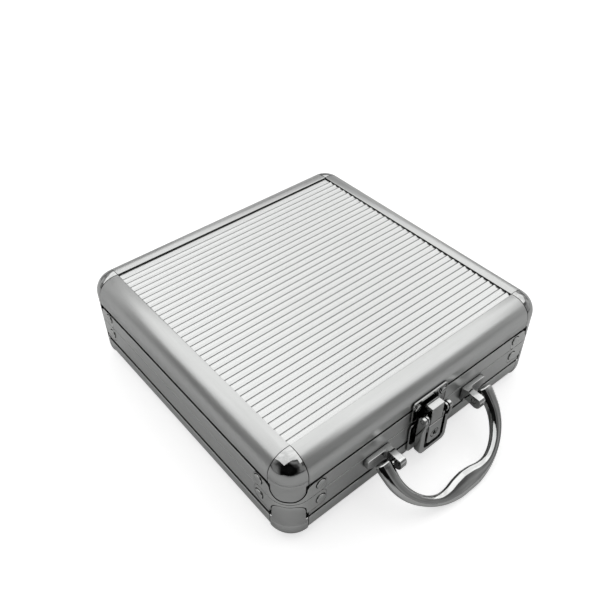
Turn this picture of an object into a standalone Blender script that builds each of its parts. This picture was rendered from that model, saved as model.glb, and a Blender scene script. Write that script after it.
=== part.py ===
"""Poker chip case for 100 chips: a square aluminium case with a hinged lid, a lever latch and a handle.

Metres, +Z up. The case stands on z = 0 with its front, the side with the latch, towards -Y.
Edge profiles, mouth bands, ball corners and riveted corner plates make the lid and base shells, and
black wall boards stand behind them. A tray with chip rows fills the base, a foam pad the lid.
"""

import math

import bmesh
import bpy
from mathutils import Matrix, Vector

MM = 0.001

# ---- driving dimensions, in millimetres -------------------------------------------------------
WIDTH = 205.0            # along X
DEPTH = 202.0            # along Y, front face to back face
HEIGHT = 65.0            # along Z
PARTING = 34.5           # height of the line where the lid meets the base
GAP = 0.3                # clearance between pieces that touch
PARTING_GAP = 0.2        # each half stops this far from the parting line

EDGE_RADIUS = 12.0       # rounded outer edge of the profiles
LIP_IN = 14.8            # lip of the profiles, from the outer face inwards
CHANNEL_DEEP = 3.6       # the channel for the panel's edge, from the lip's edge outwards
PROFILE_DEPTH = 17.4     # height of an edge profile
PROFILE_WALL = 1.3
PROFILE_FOOT = 1.2       # inward foot at the profile's free edge
PANEL_RECESS = 1.6       # panel face below the lip
PANEL_THICK = 3.0
SHELF_THICK = 1.0        # inner shelf that carries the panel's edge
CORNER_IN = 15.0         # profiles and bands are cut square this far from the corner
CORNER_RADIUS = 14.7     # vertical corner radius
SKIN = 1.3               # sheet thickness of ball corners and corner plates

BAND_THICK = 2.6         # mouth band, outer face inwards
LID_BAND_TOP = 46.0
BASE_BAND_BOTTOM = 18.9
BOARD_IN = 2.9           # outer face of the wall boards
BOARD_THICK = 3.0
BOARD_EDGE_CLEAR = 7.0   # the boards stop this far from the top and bottom faces
FLANGE_THICK = 1.3       # the bands' return over the boards' edge
TONGUE_IN = 6.2          # upstanding tongue of the base's mouth
TONGUE_THICK = 1.2
TONGUE_TOP = 38.0

LEG_END_LID = 37.2       # where the lid corners' legs end
LEG_END_BASE = 31.8
LEG_ROUND = 6.5          # rounded lower corners of a leg
LEG_CLEAR = 0.45         # gap between a leg and the plate round it
PLATE_ARM = 27.0         # corner plate, from the corner to the end of an arm
PLATE_ROUND = 4.2        # rounded ends of the arms
RIVET_IN = 22.9          # rivets, from the corner
RIVET_RADIUS = 3.1
RIVET_HIGH = 1.0
RIVET_SIDE = 0.35        # straight side of a rivet head, below its dome
RIVET_SHOULDER = (2.5, 0.8)   # radius and height where the dome breaks
RIVET_Z_LID = 41.3
RIVET_Z_BASE = 28.0
PLATE_BOTTOM_BASE = 22.6

HINGE_X = 55.0
HINGE_LONG = 30.0
KNUCKLE_OFF = 2.7        # hinge axis behind the back face
KNUCKLE_RADIUS = 2.4
HINGE_PIN_RADIUS = 1.1
HINGE_PIN_PROUD = 0.4    # the pin's ends stand out of the knuckles
KNUCKLE_GAP = 0.15       # each side of the joint between two knuckles
LEAF_HIGH = 11.0
LEAF_THICK = 0.8
LEAF_ROUND = 1.5

STRIKE_HALF = 14.0       # strike plate and latch base plate, half width
STRIKE_BOTTOM = 36.5
STRIKE_TOP = 53.2
STRIKE_SHELF = (4.2, 43.4, 45.2)     # half width and reach, underside, top
STRIKE_RIVET = (10.4, 48.2, 2.3, 2.3)    # x, z, radius, reach
LATCH_BOTTOM = 10.7
LATCH_TOP = 34.1
LATCH_PLATE = 1.2
LATCH_ROUND = 2.2        # rounded corners of both plates
PIVOT_OFF = 6.5          # lever pivot, out from the front face
PIVOT_Z = 41.0
CLAW_PIN_OFF = 6.0
CLAW_PIN_Z = 37.4
LEVER_HALF = 11.2
LEVER_BACK = 3.2
LEVER_FRONT = 8.0
LEVER_BOTTOM = 11.6
LEVER_TOP = 33.7
LEVER_ROUND = 4.0
LEVER_WALL = 2.0
LEVER_FACE = 2.8         # thickness of its front
GROOVE_HALF = 7.8        # the U-shaped groove round the boss
GROOVE_BOTTOM = 15.4
GROOVE_DEEP = 1.4
BOSS_HALF = 5.7
BOSS_BOTTOM = 18.2
EAR_IN = 9.0             # inner face of the lever's ears
CHEEK = (7.2, 8.4)       # cheeks of the base plate, between ears and ribs
RIB = (5.3, 6.7)         # ribs in the lever that carry the claw's pin
EAR_RADIUS = 3.8
STUB_PIN_RADIUS = 1.3
STUB_HEAD = (2.0, 0.9)   # radius and thickness of its head
CLAW_HALF = 4.9
CLAW_PIN_RADIUS = 0.9
CLAW_BOTTOM = 34.7
CLAW_TOP = 48.0
CLAW_HOOK = 45.5         # underside of the flange over the strike plate's shelf
LOCK_Z = 24.8
LOCK_RADIUS = 3.0
LOCK_PROUD = 0.2         # the core stands out of the boss
KEYWAY = (0.55, 1.9, 2.6)    # half width, half height, depth
CAM = (1.6, 5.2, 0.5)        # half width, reach down, reach up

HANDLE_PIVOT_OFF = 10.0
HANDLE_PIVOT_Z = 30.4
HANDLE_DROOP = 45.0      # degrees below level, at rest
HANDLE_PIN_RADIUS = 1.5
HANDLE_PIN_END = 43.5
HANDLE_PIN_HEAD = (2.4, 0.9)     # radius and thickness
LUG_IN = 30.5            # inner face of the bracket lugs, from the middle
LUG_THICK = 4.8
LUG_LOW = 27.5           # underside of a lug at the plate
LUG_TIP_OFF = 15.0       # its tip, off the face
LUG_TIP_TOP = 2.8        # radii of the tip's upper and lower corners
LUG_TIP_BOTTOM = 4.0
LUG_TIP_LOW = 25.5
LUG_FILLET = 2.4         # between a lug and its plate
BRACKET_OUT = 49.0
BRACKET_THICK = 3.4      # face of its plate, off the case
BRACKET_TOP = 34.1
BRACKET_BOTTOM = 23.5

TRAY_IN = 6.3            # tray and pad, from the outer face
TRAY_BOTTOM = 6.4
TRAY_TOP = 32.2
CHIP_ROW_RADIUS = 20.5
CHIP_ROW_LONG = 88.0
CHIP_ROW_Z = 28.5        # axis of a chip row
CARD_WELL = (91.0, 65.0, 13.0)   # length, width, height of the floor
SLOT = (91.0, 17.0, 14.0)
RIB_WALL = 5.0           # between the pockets
POCKET_ROUND = 2.0
OVER = 4.0               # cutters reach this far past what they cut
PAD_BOTTOM = 50.0
PAD_TOP = 58.8

FRONT = -DEPTH / 2
BACK = DEPTH / 2
SIDE = WIDTH / 2

ALUMINIUM = ((0.62, 0.63, 0.63, 1), 0.38, 1.0)
PANEL = ((0.80, 0.80, 0.80, 1), 0.45, 0.9)
CHROME = ((0.55, 0.55, 0.56, 1), 0.12, 1.0)
STEEL = ((0.50, 0.50, 0.50, 1), 0.30, 1.0)
BOARD = ((0.03, 0.03, 0.03, 1), 0.7, 0.0)
FOAM = ((0.04, 0.04, 0.045, 1), 0.9, 0.0)


# ---- scene and helpers ------------------------------------------------------------------------
def clear_scene():
    for old in list(bpy.data.objects):
        bpy.data.objects.remove(old)


def new_collection(name):
    made = bpy.data.collections.new(name)
    bpy.context.scene.collection.children.link(made)
    return made


def material(name, look):
    colour, roughness, metallic = look
    made = bpy.data.materials.new(name)
    made.use_nodes = True
    shader = made.node_tree.nodes["Principled BSDF"]
    shader.inputs["Base Color"].default_value = colour
    shader.inputs["Roughness"].default_value = roughness
    shader.inputs["Metallic"].default_value = metallic
    return made


def from_bmesh(bm, name):
    """A mesh object in millimetre input, scaled to metres, with all faces turned outwards."""
    bmesh.ops.recalc_face_normals(bm, faces=bm.faces)
    bmesh.ops.scale(bm, vec=Vector((MM, MM, MM)), verts=bm.verts)
    mesh = bpy.data.meshes.new(name)
    bm.to_mesh(mesh)
    bm.free()
    return bpy.data.objects.new(name, mesh)


def box_bmesh(low, high):
    bm = bmesh.new()
    bmesh.ops.create_cube(bm, size=1.0)
    size = Vector(high) - Vector(low)
    middle = (Vector(high) + Vector(low)) / 2
    bmesh.ops.scale(bm, vec=size, verts=bm.verts)
    bmesh.ops.translate(bm, vec=middle, verts=bm.verts)
    return bm


def box(name, low, high):
    return from_bmesh(box_bmesh(low, high), name)


def round_box(name, low, high, along, radius, corners=None, segments=5):
    """A box whose edges along one axis are rounded, all four or those that corners() picks."""
    bm = box_bmesh(low, high)
    middle = (Vector(high) + Vector(low)) / 2
    chosen = []
    for edge in bm.edges:
        a, b = edge.verts[0].co, edge.verts[1].co
        if abs((b - a).normalized()[along]) > 0.9:
            if corners is None or corners((a + b) / 2 - middle):
                chosen.append(edge)
    bmesh.ops.bevel(bm, geom=chosen, offset=radius, segments=segments, affect="EDGES", profile=0.5)
    return from_bmesh(bm, name)


def rod(name, start, end, radius, sides=24):
    """A cylinder between two points."""
    start, end = Vector(start), Vector(end)
    bm = bmesh.new()
    bmesh.ops.create_cone(bm, cap_ends=True, segments=sides, radius1=radius, radius2=radius,
                          depth=(end - start).length)
    turn = (end - start).to_track_quat("Z", "Y").to_matrix().to_4x4()
    bmesh.ops.transform(bm, matrix=Matrix.Translation((start + end) / 2) @ turn, verts=bm.verts)
    return from_bmesh(bm, name)


def extruded(name, outline, axis, low, high):
    """A closed outline, drawn in the plane across an axis, extruded along it from low to high.
    The outline's two numbers are the other two coordinates, in X, Y, Z order."""
    def place(pair, along):
        point = list(pair)
        point.insert(axis, along)
        return point
    bm = bmesh.new()
    ring = [bm.verts.new(place(pair, low)) for pair in outline]
    face = bm.faces.new(ring)
    grown = bmesh.ops.extrude_face_region(bm, geom=[face])
    step = [0.0, 0.0, 0.0]
    step[axis] = high - low
    moved = [item for item in grown["geom"] if isinstance(item, bmesh.types.BMVert)]
    bmesh.ops.translate(bm, vec=step, verts=moved)
    return from_bmesh(bm, name)


def arc(centre, radius, start, end, steps):
    """Points on an arc, angles in degrees."""
    points = []
    for i in range(steps + 1):
        angle = math.radians(start + (end - start) * i / steps)
        points.append((centre[0] + radius * math.cos(angle), centre[1] + radius * math.sin(angle)))
    return points


class Shop:
    """Keeps the collections and the body empties, and applies Booleans as modifiers."""

    def __init__(self):
        clear_scene()
        self.parts = new_collection("poker_chip_case")
        self.tools = new_collection("cutters")
        self.materials = {}
        self.bodies = {}

    def body(self, name, parent=None, origin=(0, 0, 0)):
        empty = bpy.data.objects.new(name + "_body", None)
        empty.empty_display_size = 0.01
        self.parts.objects.link(empty)
        if parent is not None:
            empty.parent = self.bodies[parent][0]
            origin_of_parent = self.bodies[parent][1]
        else:
            origin_of_parent = Vector((0, 0, 0))
        empty.location = (Vector(origin) - origin_of_parent) * MM
        self.bodies[name] = (empty, Vector(origin))

    def tool(self, thing):
        self.tools.objects.link(thing)
        thing.hide_render = True
        thing.display_type = "WIRE"
        return thing

    def boolean(self, thing, other, operation):
        step = thing.modifiers.new(operation.lower() + "_" + other.name, "BOOLEAN")
        step.operation = operation
        step.solver = "EXACT"
        step.object = self.tool(other)
        return thing

    def cut(self, thing, *others):
        for other in others:
            self.boolean(thing, other, "DIFFERENCE")
        return thing

    def join(self, thing, *others):
        for other in others:
            self.boolean(thing, other, "UNION")
        return thing

    def settle(self, thing):
        """Applies the modifiers, so that the mesh can be turned and shared."""
        view = bpy.context.view_layer
        linked = thing.name not in self.parts.objects
        if linked:
            self.parts.objects.link(thing)
        view.update()
        evaluated = thing.evaluated_get(bpy.context.evaluated_depsgraph_get())
        mesh = bpy.data.meshes.new_from_object(evaluated)
        used = [step.object for step in thing.modifiers]
        thing.modifiers.clear()
        thing.data = mesh
        if linked:
            self.parts.objects.unlink(thing)
        for other in used:
            bpy.data.objects.remove(other)
        return thing

    def keep(self, thing, name, body, look, look_name):
        """Names a finished piece, gives it its material and hangs it on its body."""
        thing.name = name
        thing.data.name = name
        if look_name not in self.materials:
            self.materials[look_name] = material(look_name, look)
        thing.data.materials.clear()
        thing.data.materials.append(self.materials[look_name])
        self.parts.objects.link(thing)
        empty, origin = self.bodies[body]
        thing.parent = empty
        thing.location = thing.location - origin * MM
        thing.data.shade_smooth()
        thing.data.set_sharp_from_angle(angle=math.radians(35))
        return thing


def turned(thing, degrees, middle=(0, 0, 0), shift=(0, 0, 0)):
    """Turns a piece's mesh about the vertical line through a point, then moves it."""
    move = Matrix.Translation(Vector(middle) * MM) @ Matrix.Rotation(math.radians(degrees), 4, "Z")
    back = Matrix.Translation(-Vector(middle) * MM)
    thing.data.transform(Matrix.Translation(Vector(shift) * MM) @ move @ back)
    return thing


class Half:
    """Maps heights for the lid or the base: depth 0 is the outer face, and depth grows inwards."""

    def __init__(self, lid):
        self.lid = lid
        self.body = "lid" if lid else "base"

    def z(self, depth):
        return HEIGHT - depth if self.lid else depth

    def name(self, what):
        return self.body + "_" + what

    def band(self):
        """Lowest and highest z of the mouth band."""
        if self.lid:
            return PARTING + PARTING_GAP, LID_BAND_TOP
        return BASE_BAND_BOTTOM, PARTING - PARTING_GAP

    def plate(self):
        if self.lid:
            return PARTING + PARTING_GAP, LID_BAND_TOP
        return PLATE_BOTTOM_BASE, PARTING - PARTING_GAP

    def rivet_z(self):
        return RIVET_Z_LID if self.lid else RIVET_Z_BASE

    def leg_end(self):
        return LEG_END_LID if self.lid else LEG_END_BASE


SIDES = (("front", 0), ("right", 90), ("back", 180), ("left", 270))
CORNERS = (("front_left", 0), ("front_right", 90), ("back_right", 180), ("back_left", 270))


def side_span(turn):
    """(half length of the case along this side, distance of the side's face from the middle)"""
    if turn in (0, 180):
        return SIDE, DEPTH / 2
    return DEPTH / 2, SIDE


def corner_place(turn):
    """The corner's outer edge, for a corner piece made at the front left and turned."""
    return {
        0: (-SIDE, FRONT), 90: (SIDE, FRONT), 180: (SIDE, BACK), 270: (-SIDE, BACK),
    }[turn]


# ---- shell pieces -----------------------------------------------------------------------------
def profile_section(half, face):
    """Edge profile: rounded skin, lip, and the channel that holds the panel's edge.
    The pairs are (y, z) of the front profile, y from the face inwards."""
    outer, inner = EDGE_RADIUS, EDGE_RADIUS - PROFILE_WALL
    web = LIP_IN - CHANNEL_DEEP
    shelf_top = PANEL_RECESS + PANEL_THICK + GAP
    shelf_low = shelf_top + SHELF_THICK
    web_low = web - SHELF_THICK
    web_angle = math.degrees(math.acos((outer - web_low) / inner))
    pairs = [(0, PROFILE_DEPTH)]
    pairs += arc((outer, outer), outer, 180, 270, 9)
    pairs += [(LIP_IN, 0), (LIP_IN, PROFILE_WALL), (web, PROFILE_WALL), (web, shelf_top)]
    pairs += [(LIP_IN, shelf_top), (LIP_IN, shelf_low), (web_low, shelf_low)]
    pairs += arc((outer, outer), inner, 180 + web_angle, 180, 6)
    foot = PROFILE_DEPTH - PROFILE_FOOT
    pairs += [(PROFILE_WALL, foot), (BAND_THICK, foot), (BAND_THICK, PROFILE_DEPTH)]
    return [(-face + inset, half.z(depth)) for inset, depth in pairs]


def edge_profile(shop, half, side, turn):
    long, face = side_span(turn)
    bar = extruded("bar", profile_section(half, face), 0, -long + CORNER_IN, long - CORNER_IN)
    turned(bar, turn)
    shop.keep(bar, half.name("profile_" + side), half.body, ALUMINIUM, "satin_aluminium")


def mouth_bar(shop, half, side, turn):
    """Mouth band: the outer band, its return over the boards, and on the base the tongue."""
    long, face = side_span(turn)
    low, high = half.band()
    board_face = BOARD_IN + BOARD_THICK
    if half.lid:
        pairs = [(0, low), (0, high), (BAND_THICK, high), (BAND_THICK, low + FLANGE_THICK),
                 (board_face, low + FLANGE_THICK), (board_face, low)]
    else:
        inner = TONGUE_IN + TONGUE_THICK
        pairs = [(0, low), (0, high), (TONGUE_IN, high), (TONGUE_IN, TONGUE_TOP), (inner, TONGUE_TOP),
                 (inner, high - FLANGE_THICK), (BAND_THICK, high - FLANGE_THICK), (BAND_THICK, low)]
    pairs = [(-face + inset, z) for inset, z in pairs]
    bar = extruded("bar", pairs, 0, -long + CORNER_IN, long - CORNER_IN)
    plate_low, plate_high = half.plate()
    for sign in (-1, 1):
        pocket = round_box("pocket", (-OVER, -OVER, plate_low - GAP),
                           (PLATE_ARM - CORNER_IN + GAP, SKIN + GAP, plate_high + GAP), 1,
                           PLATE_ROUND + GAP, corners=lambda p: p.x > 0)
        if sign > 0:
            pocket.data.transform(Matrix.Scale(-1, 4, (1, 0, 0)))
            pocket.data.flip_normals()
        start = sign * (long - CORNER_IN)
        pocket.data.transform(Matrix.Translation(Vector((start, -face, 0)) * MM))
        shop.cut(bar, pocket)
    shop.settle(bar)
    turned(bar, turn)
    shop.keep(bar, half.name("mouth_" + side), half.body, ALUMINIUM, "satin_aluminium")


def leg_outline(end, lid, grow=0.0):
    """A leg's outline, seen along the corner's diagonal: straight sides and rounded end corners.
    The pairs are (across, z)."""
    half_wide = CORNER_RADIUS / math.sqrt(2) + grow
    radius = LEG_ROUND + grow
    sign = 1 if lid else -1
    tip = end - sign * grow
    far = HEIGHT + OVER if lid else -OVER
    pairs = [(half_wide, far)]
    pairs += arc((half_wide - radius, 0), radius, 0, -90, 4)
    pairs += arc((radius - half_wide, 0), radius, -90, -180, 4)
    pairs += [(-half_wide, far)]
    return [(x, z if z == far else tip + sign * (radius + z)) for x, z in pairs]


def diagonal_prism(name, outline, near, away):
    """An outline seen along the front left corner's diagonal, extruded from near to away from
    the corner's vertical axis, outwards."""
    prism = extruded(name, outline, 1, -away, -near)
    spin = Matrix.Rotation(math.radians(-45), 4, "Z")
    axis = Vector((CORNER_RADIUS, CORNER_RADIUS, 0)) * MM
    prism.data.transform(Matrix.Translation(axis) @ spin)
    return prism


def ball_corner_mesh(shop, half):
    """A quarter-turned shell: the profile's rounded edge swept round the corner, and a leg."""
    edge, inner = EDGE_RADIUS, EDGE_RADIUS - PROFILE_WALL
    flat = CORNER_RADIUS - edge
    long = abs(half.leg_end() - half.z(0))
    pairs = [(0, 0)]
    pairs += arc((flat, edge), edge, -90, 0, 6)
    pairs += [(CORNER_RADIUS, long), (flat + inner, long)]
    pairs += arc((flat, edge), inner, 0, -90, 5)
    pairs += [(0, PROFILE_WALL)]
    bm = bmesh.new()
    ring = [bm.verts.new((-r, 0, half.z(d))) for r, d in pairs]
    face = bm.faces.new(ring)
    bmesh.ops.spin(bm, geom=[face, *face.edges, *face.verts], cent=(0, 0, 0), axis=(0, 0, 1),
                   angle=math.radians(90), steps=6, use_duplicate=False)
    bmesh.ops.translate(bm, vec=(CORNER_RADIUS, CORNER_RADIUS, 0), verts=bm.verts)
    bmesh.ops.remove_doubles(bm, verts=bm.verts, dist=0.0001)
    shell = from_bmesh(bm, "shell")
    keep_zone = diagonal_prism("leg_shape", leg_outline(half.leg_end(), half.lid), -OVER, 30)
    shop.boolean(shell, keep_zone, "INTERSECT")
    return shop.settle(shell)


def corner_plate_mesh(shop, half):
    """A formed plate round the mouth's corner, notched for the ball corner's leg, two rivets on."""
    low, high = half.plate()
    inner = CORNER_RADIUS - SKIN
    centre = (CORNER_RADIUS, CORNER_RADIUS)
    outline = [(PLATE_ARM, 0)] + arc(centre, CORNER_RADIUS, 270, 180, 8) + [(0, PLATE_ARM)]
    outline += [(SKIN, PLATE_ARM)] + arc(centre, inner, 180, 270, 8) + [(PLATE_ARM, SKIN)]
    plate = extruded("plate", outline, 2, low, high)
    bm = bmesh.new()
    bm.from_mesh(plate.data)
    ends = []
    for edge in bm.edges:
        a, b = edge.verts[0].co, edge.verts[1].co
        short = (b - a).length < SKIN * MM * 1.2
        if short and max(a.x, a.y) > (PLATE_ARM - GAP) * MM:
            ends.append(edge)
    bmesh.ops.bevel(bm, geom=ends, offset=PLATE_ROUND * MM, segments=4, affect="EDGES", profile=0.5)
    bm.to_mesh(plate.data)
    bm.free()
    notch = leg_outline(half.leg_end(), half.lid, LEG_CLEAR)
    shop.cut(plate, diagonal_prism("notch", notch, 4, 30))
    z = half.rivet_z()
    for on_front in (True, False):
        pairs = [(0, -SKIN / 2), (RIVET_RADIUS, -SKIN / 2), (RIVET_RADIUS, RIVET_SIDE)]
        pairs += [RIVET_SHOULDER, (0, RIVET_HIGH)]
        rivet = domed(pairs, 12)
        if on_front:
            rivet.data.transform(Matrix.Rotation(math.radians(90), 4, "X"))
            place = (RIVET_IN, 0, z)
        else:
            rivet.data.transform(Matrix.Rotation(math.radians(-90), 4, "Y"))
            place = (0, RIVET_IN, z)
        rivet.data.transform(Matrix.Translation(Vector(place) * MM))
        shop.join(plate, rivet)
    return shop.settle(plate)


def domed(pairs, steps):
    """A turned solid about Z from (radius, height) pairs that start and end on the axis."""
    bm = bmesh.new()
    verts = [bm.verts.new((r, 0, h)) for r, h in pairs]
    edges = [bm.edges.new((a, b)) for a, b in zip(verts, verts[1:])]
    bmesh.ops.spin(bm, geom=[*verts, *edges], cent=(0, 0, 0), axis=(0, 0, 1),
                   angle=math.radians(360), steps=steps, use_duplicate=False)
    bmesh.ops.remove_doubles(bm, verts=bm.verts, dist=0.0001)
    return from_bmesh(bm, "turned")


def place_corner(thing, turn):
    """Moves a piece made at the origin's corner, +X and +Y inwards, to its corner of the case."""
    thing.data.transform(Matrix.Rotation(math.radians(turn), 4, "Z"))
    x, y = corner_place(turn)
    thing.location = Vector((x, y, 0)) * MM
    return thing


def corners(shop, half):
    ball = ball_corner_mesh(shop, half)
    plate = corner_plate_mesh(shop, half)
    for corner, turn in CORNERS:
        for source, what, look, look_name in ((ball, "corner_", CHROME, "polished_chrome"),
                                              (plate, "corner_plate_", STEEL, "plated_steel")):
            piece = bpy.data.objects.new("piece", source.data.copy())
            place_corner(piece, turn)
            shop.keep(piece, half.name(what + corner), half.body, look, look_name)
    bpy.data.objects.remove(ball)
    bpy.data.objects.remove(plate)


def rounded_outline(inset, radius, steps=4):
    x, y = SIDE - inset - radius, DEPTH / 2 - inset - radius
    pairs = arc((x, y), radius, 0, 90, steps)
    pairs += arc((-x, y), radius, 90, 180, steps)
    pairs += arc((-x, -y), radius, 180, 270, steps)
    pairs += arc((x, -y), radius, 270, 360, steps)
    return pairs


def wall_boards(shop, half):
    """The black-faced board ring behind the profiles."""
    low, high = half.band()
    if half.lid:
        low, high = low + FLANGE_THICK + GAP, HEIGHT - BOARD_EDGE_CLEAR
    else:
        low, high = BOARD_EDGE_CLEAR, high - FLANGE_THICK - GAP
    ring = extruded("ring", rounded_outline(BOARD_IN, CORNER_RADIUS - BOARD_IN), 2, low, high)
    inner = BOARD_IN + BOARD_THICK
    hollow = extruded("hollow", rounded_outline(inner, CORNER_RADIUS - inner), 2, low - OVER, high + OVER)
    shop.cut(ring, hollow)
    shop.settle(ring)
    shop.keep(ring, half.name("wall_boards"), half.body, BOARD, "black_board")


def panel(shop, half):
    """The top or bottom sheet, held by its edge in the profiles' channels."""
    inset = LIP_IN - CHANNEL_DEEP + GAP
    near, far = sorted((half.z(PANEL_RECESS), half.z(PANEL_RECESS + PANEL_THICK)))
    cut = CORNER_IN - inset + GAP
    x, y = SIDE - inset, DEPTH / 2 - inset
    outline = [(x, -y + cut), (x, y - cut), (x - cut, y - cut), (x - cut, y), (-x + cut, y)]
    outline += [(-x + cut, y - cut), (-x, y - cut), (-x, -y + cut), (-x + cut, -y + cut)]
    outline += [(-x + cut, -y), (x - cut, -y), (x - cut, -y + cut)]
    sheet = extruded("sheet", outline, 2, near, far)
    shop.keep(sheet, half.name("panel"), half.body, PANEL, "ribbed_panel")


def lid_foam_pad(shop):
    pad = extruded("pad", rounded_outline(TRAY_IN, CORNER_RADIUS - TRAY_IN), 2, PAD_BOTTOM, PAD_TOP)
    shop.keep(pad, "lid_foam_pad", "lid", FOAM, "black_foam")


def tray_layout():
    """Centre lines of the tray's pockets: (chip rows' y, card wells' y, slots' y, columns' x)."""
    low = FRONT + TRAY_IN + RIB_WALL
    wide = 2 * CHIP_ROW_RADIUS
    rows = [low + wide / 2, low + wide + RIB_WALL + wide / 2]
    wells = rows[1] + wide / 2 + RIB_WALL + CARD_WELL[1] / 2
    slots = wells + CARD_WELL[1] / 2 + RIB_WALL + SLOT[1] / 2
    column = (SIDE - TRAY_IN) / 2 - RIB_WALL / 4
    return rows, wells, slots, (-column, column)


def chip_tray(shop):
    tray = extruded("tray", rounded_outline(TRAY_IN, CORNER_RADIUS - TRAY_IN), 2, TRAY_BOTTOM, TRAY_TOP)
    rows, wells, slots, columns = tray_layout()
    over = TRAY_TOP + OVER
    for x in columns:
        for y in rows:
            half_long = CHIP_ROW_LONG / 2
            trough = arc((y, CHIP_ROW_Z), CHIP_ROW_RADIUS, 180, 360, 14)
            trough += [(y + CHIP_ROW_RADIUS, over), (y - CHIP_ROW_RADIUS, over)]
            shop.cut(tray, extruded("row", trough, 0, x - half_long, x + half_long))
        for y, (long, wide, floor) in ((wells, CARD_WELL), (slots, SLOT)):
            shop.cut(tray, round_box("well", (x - long / 2, y - wide / 2, floor),
                                     (x + long / 2, y + wide / 2, over), 2, POCKET_ROUND, segments=2))
    shop.settle(tray)
    shop.keep(tray, "chip_tray", "base", FOAM, "black_foam")


# ---- hinges -----------------------------------------------------------------------------------
def hinge(shop, side, middle):
    """A butt hinge on the back: the lid's leaf has the middle knuckle, the base's the outer two."""
    axis_y = BACK + KNUCKLE_OFF
    third = HINGE_LONG / 3
    for lid in (True, False):
        sign = 1 if lid else -1
        near, far = PARTING + sign * (KNUCKLE_OFF + GAP), PARTING + sign * LEAF_HIGH
        plate_y = (BACK + GAP, BACK + GAP + LEAF_THICK)
        low, high = sorted((near, far))
        leaf = round_box("leaf", (middle - HINGE_LONG / 2, plate_y[0], low),
                         (middle + HINGE_LONG / 2, plate_y[1], high), 1, LEAF_ROUND,
                         corners=lambda p: p.z * sign > 0, segments=3)
        edge = third / 2
        spans = [(KNUCKLE_GAP - edge, edge - KNUCKLE_GAP)]
        if not lid:
            spans = [(-HINGE_LONG / 2, -edge - KNUCKLE_GAP), (edge + KNUCKLE_GAP, HINGE_LONG / 2)]
        for start, end in spans:
            a, b = middle + start, middle + end
            tab_low, tab_high = sorted((PARTING, near + sign * LEAF_THICK))
            shop.join(leaf, box("tab", (a, plate_y[0], tab_low), (b, plate_y[1], tab_high)))
            shop.join(leaf, rod("knuckle", (a, axis_y, PARTING), (b, axis_y, PARTING), KNUCKLE_RADIUS, 18))
        half_long = HINGE_LONG / 2 + OVER
        shop.cut(leaf, rod("bore", (middle - half_long, axis_y, PARTING),
                           (middle + half_long, axis_y, PARTING), HINGE_PIN_RADIUS + GAP, 14))
        shop.settle(leaf)
        body = "lid" if lid else "base"
        shop.keep(leaf, "hinge_" + body + "_leaf_" + side, body, STEEL, "plated_steel")
    reach = HINGE_LONG / 2 + HINGE_PIN_PROUD
    pin = rod("pin", (middle - reach, axis_y, PARTING), (middle + reach, axis_y, PARTING),
              HINGE_PIN_RADIUS, 14)
    shop.keep(pin, "hinge_pin_" + side, "base", STEEL, "plated_steel")


# ---- latch ------------------------------------------------------------------------------------
def front(off):
    """y of a point that stands off the front face."""
    return FRONT - off


def strike_plate(shop):
    """Plate on the lid with a shelf that the claw holds, and a rivet at each side."""
    plate = round_box("plate", (-STRIKE_HALF, front(GAP + LATCH_PLATE), STRIKE_BOTTOM),
                      (STRIKE_HALF, front(GAP), STRIKE_TOP), 1, LATCH_ROUND, segments=4)
    reach, low, high = STRIKE_SHELF
    shop.join(plate, round_box("shelf", (-reach, front(reach), low), (reach, front(LATCH_PLATE), high),
                               0, 0.5, segments=2))
    x, z, radius, reach = STRIKE_RIVET
    for sign in (-1, 1):
        shop.join(plate, rod("rivet", (sign * x, front(LATCH_PLATE), z), (sign * x, front(reach), z),
                             radius, 20))
    shop.settle(plate)
    shop.keep(plate, "strike_plate", "lid", CHROME, "polished_chrome")


def latch_base_plate(shop):
    """Plate on the base's band, with two cheeks that carry the lever's pins."""
    plate = round_box("plate", (-STRIKE_HALF, front(GAP + LATCH_PLATE), LATCH_BOTTOM),
                      (STRIKE_HALF, front(GAP), LATCH_TOP), 1, LATCH_ROUND, segments=4)
    for sign in (-1, 1):
        low, high = sorted((sign * CHEEK[0], sign * CHEEK[1]))
        outline = [(front(0.9), 26.0), (front(0.9), 34.0), (front(1.9), 34.8), (front(2.6), 38.0)]
        outline += [(front(PIVOT_OFF - 3.0), PIVOT_Z + 1.4)]
        outline += arc((front(PIVOT_OFF), PIVOT_Z), 3.3, 40, 200, 8)
        outline += [(front(PIVOT_OFF + 2.6), 38.6), (front(4.8), 33.9), (front(4.2), 29.0),
                    (front(2.2), 26.0)]
        cheek = extruded("cheek", outline, 0, low, high)
        shop.join(plate, cheek)
        y = front(PIVOT_OFF)
        shop.cut(plate, rod("bore", (sign * 6, y, PIVOT_Z), (sign * 12, y, PIVOT_Z),
                            STUB_PIN_RADIUS + GAP, 16))
    shop.settle(plate)
    shop.keep(plate, "latch_base_plate", "base", CHROME, "polished_chrome")


def lever_pin(shop, side, sign):
    """A headed stub pin through one ear and its cheek."""
    y = front(PIVOT_OFF)
    head = LEVER_HALF + GAP
    radius, thick = STUB_HEAD
    pin = rod("pin", (sign * (RIB[1] + GAP), y, PIVOT_Z), (sign * (head + thick / 3), y, PIVOT_Z),
              STUB_PIN_RADIUS, 16)
    shop.join(pin, rod("head", (sign * head, y, PIVOT_Z), (sign * (head + thick), y, PIVOT_Z),
                       radius, 16))
    shop.settle(pin)
    shop.keep(pin, "lever_pin_" + side, "base", CHROME, "polished_chrome")


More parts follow.
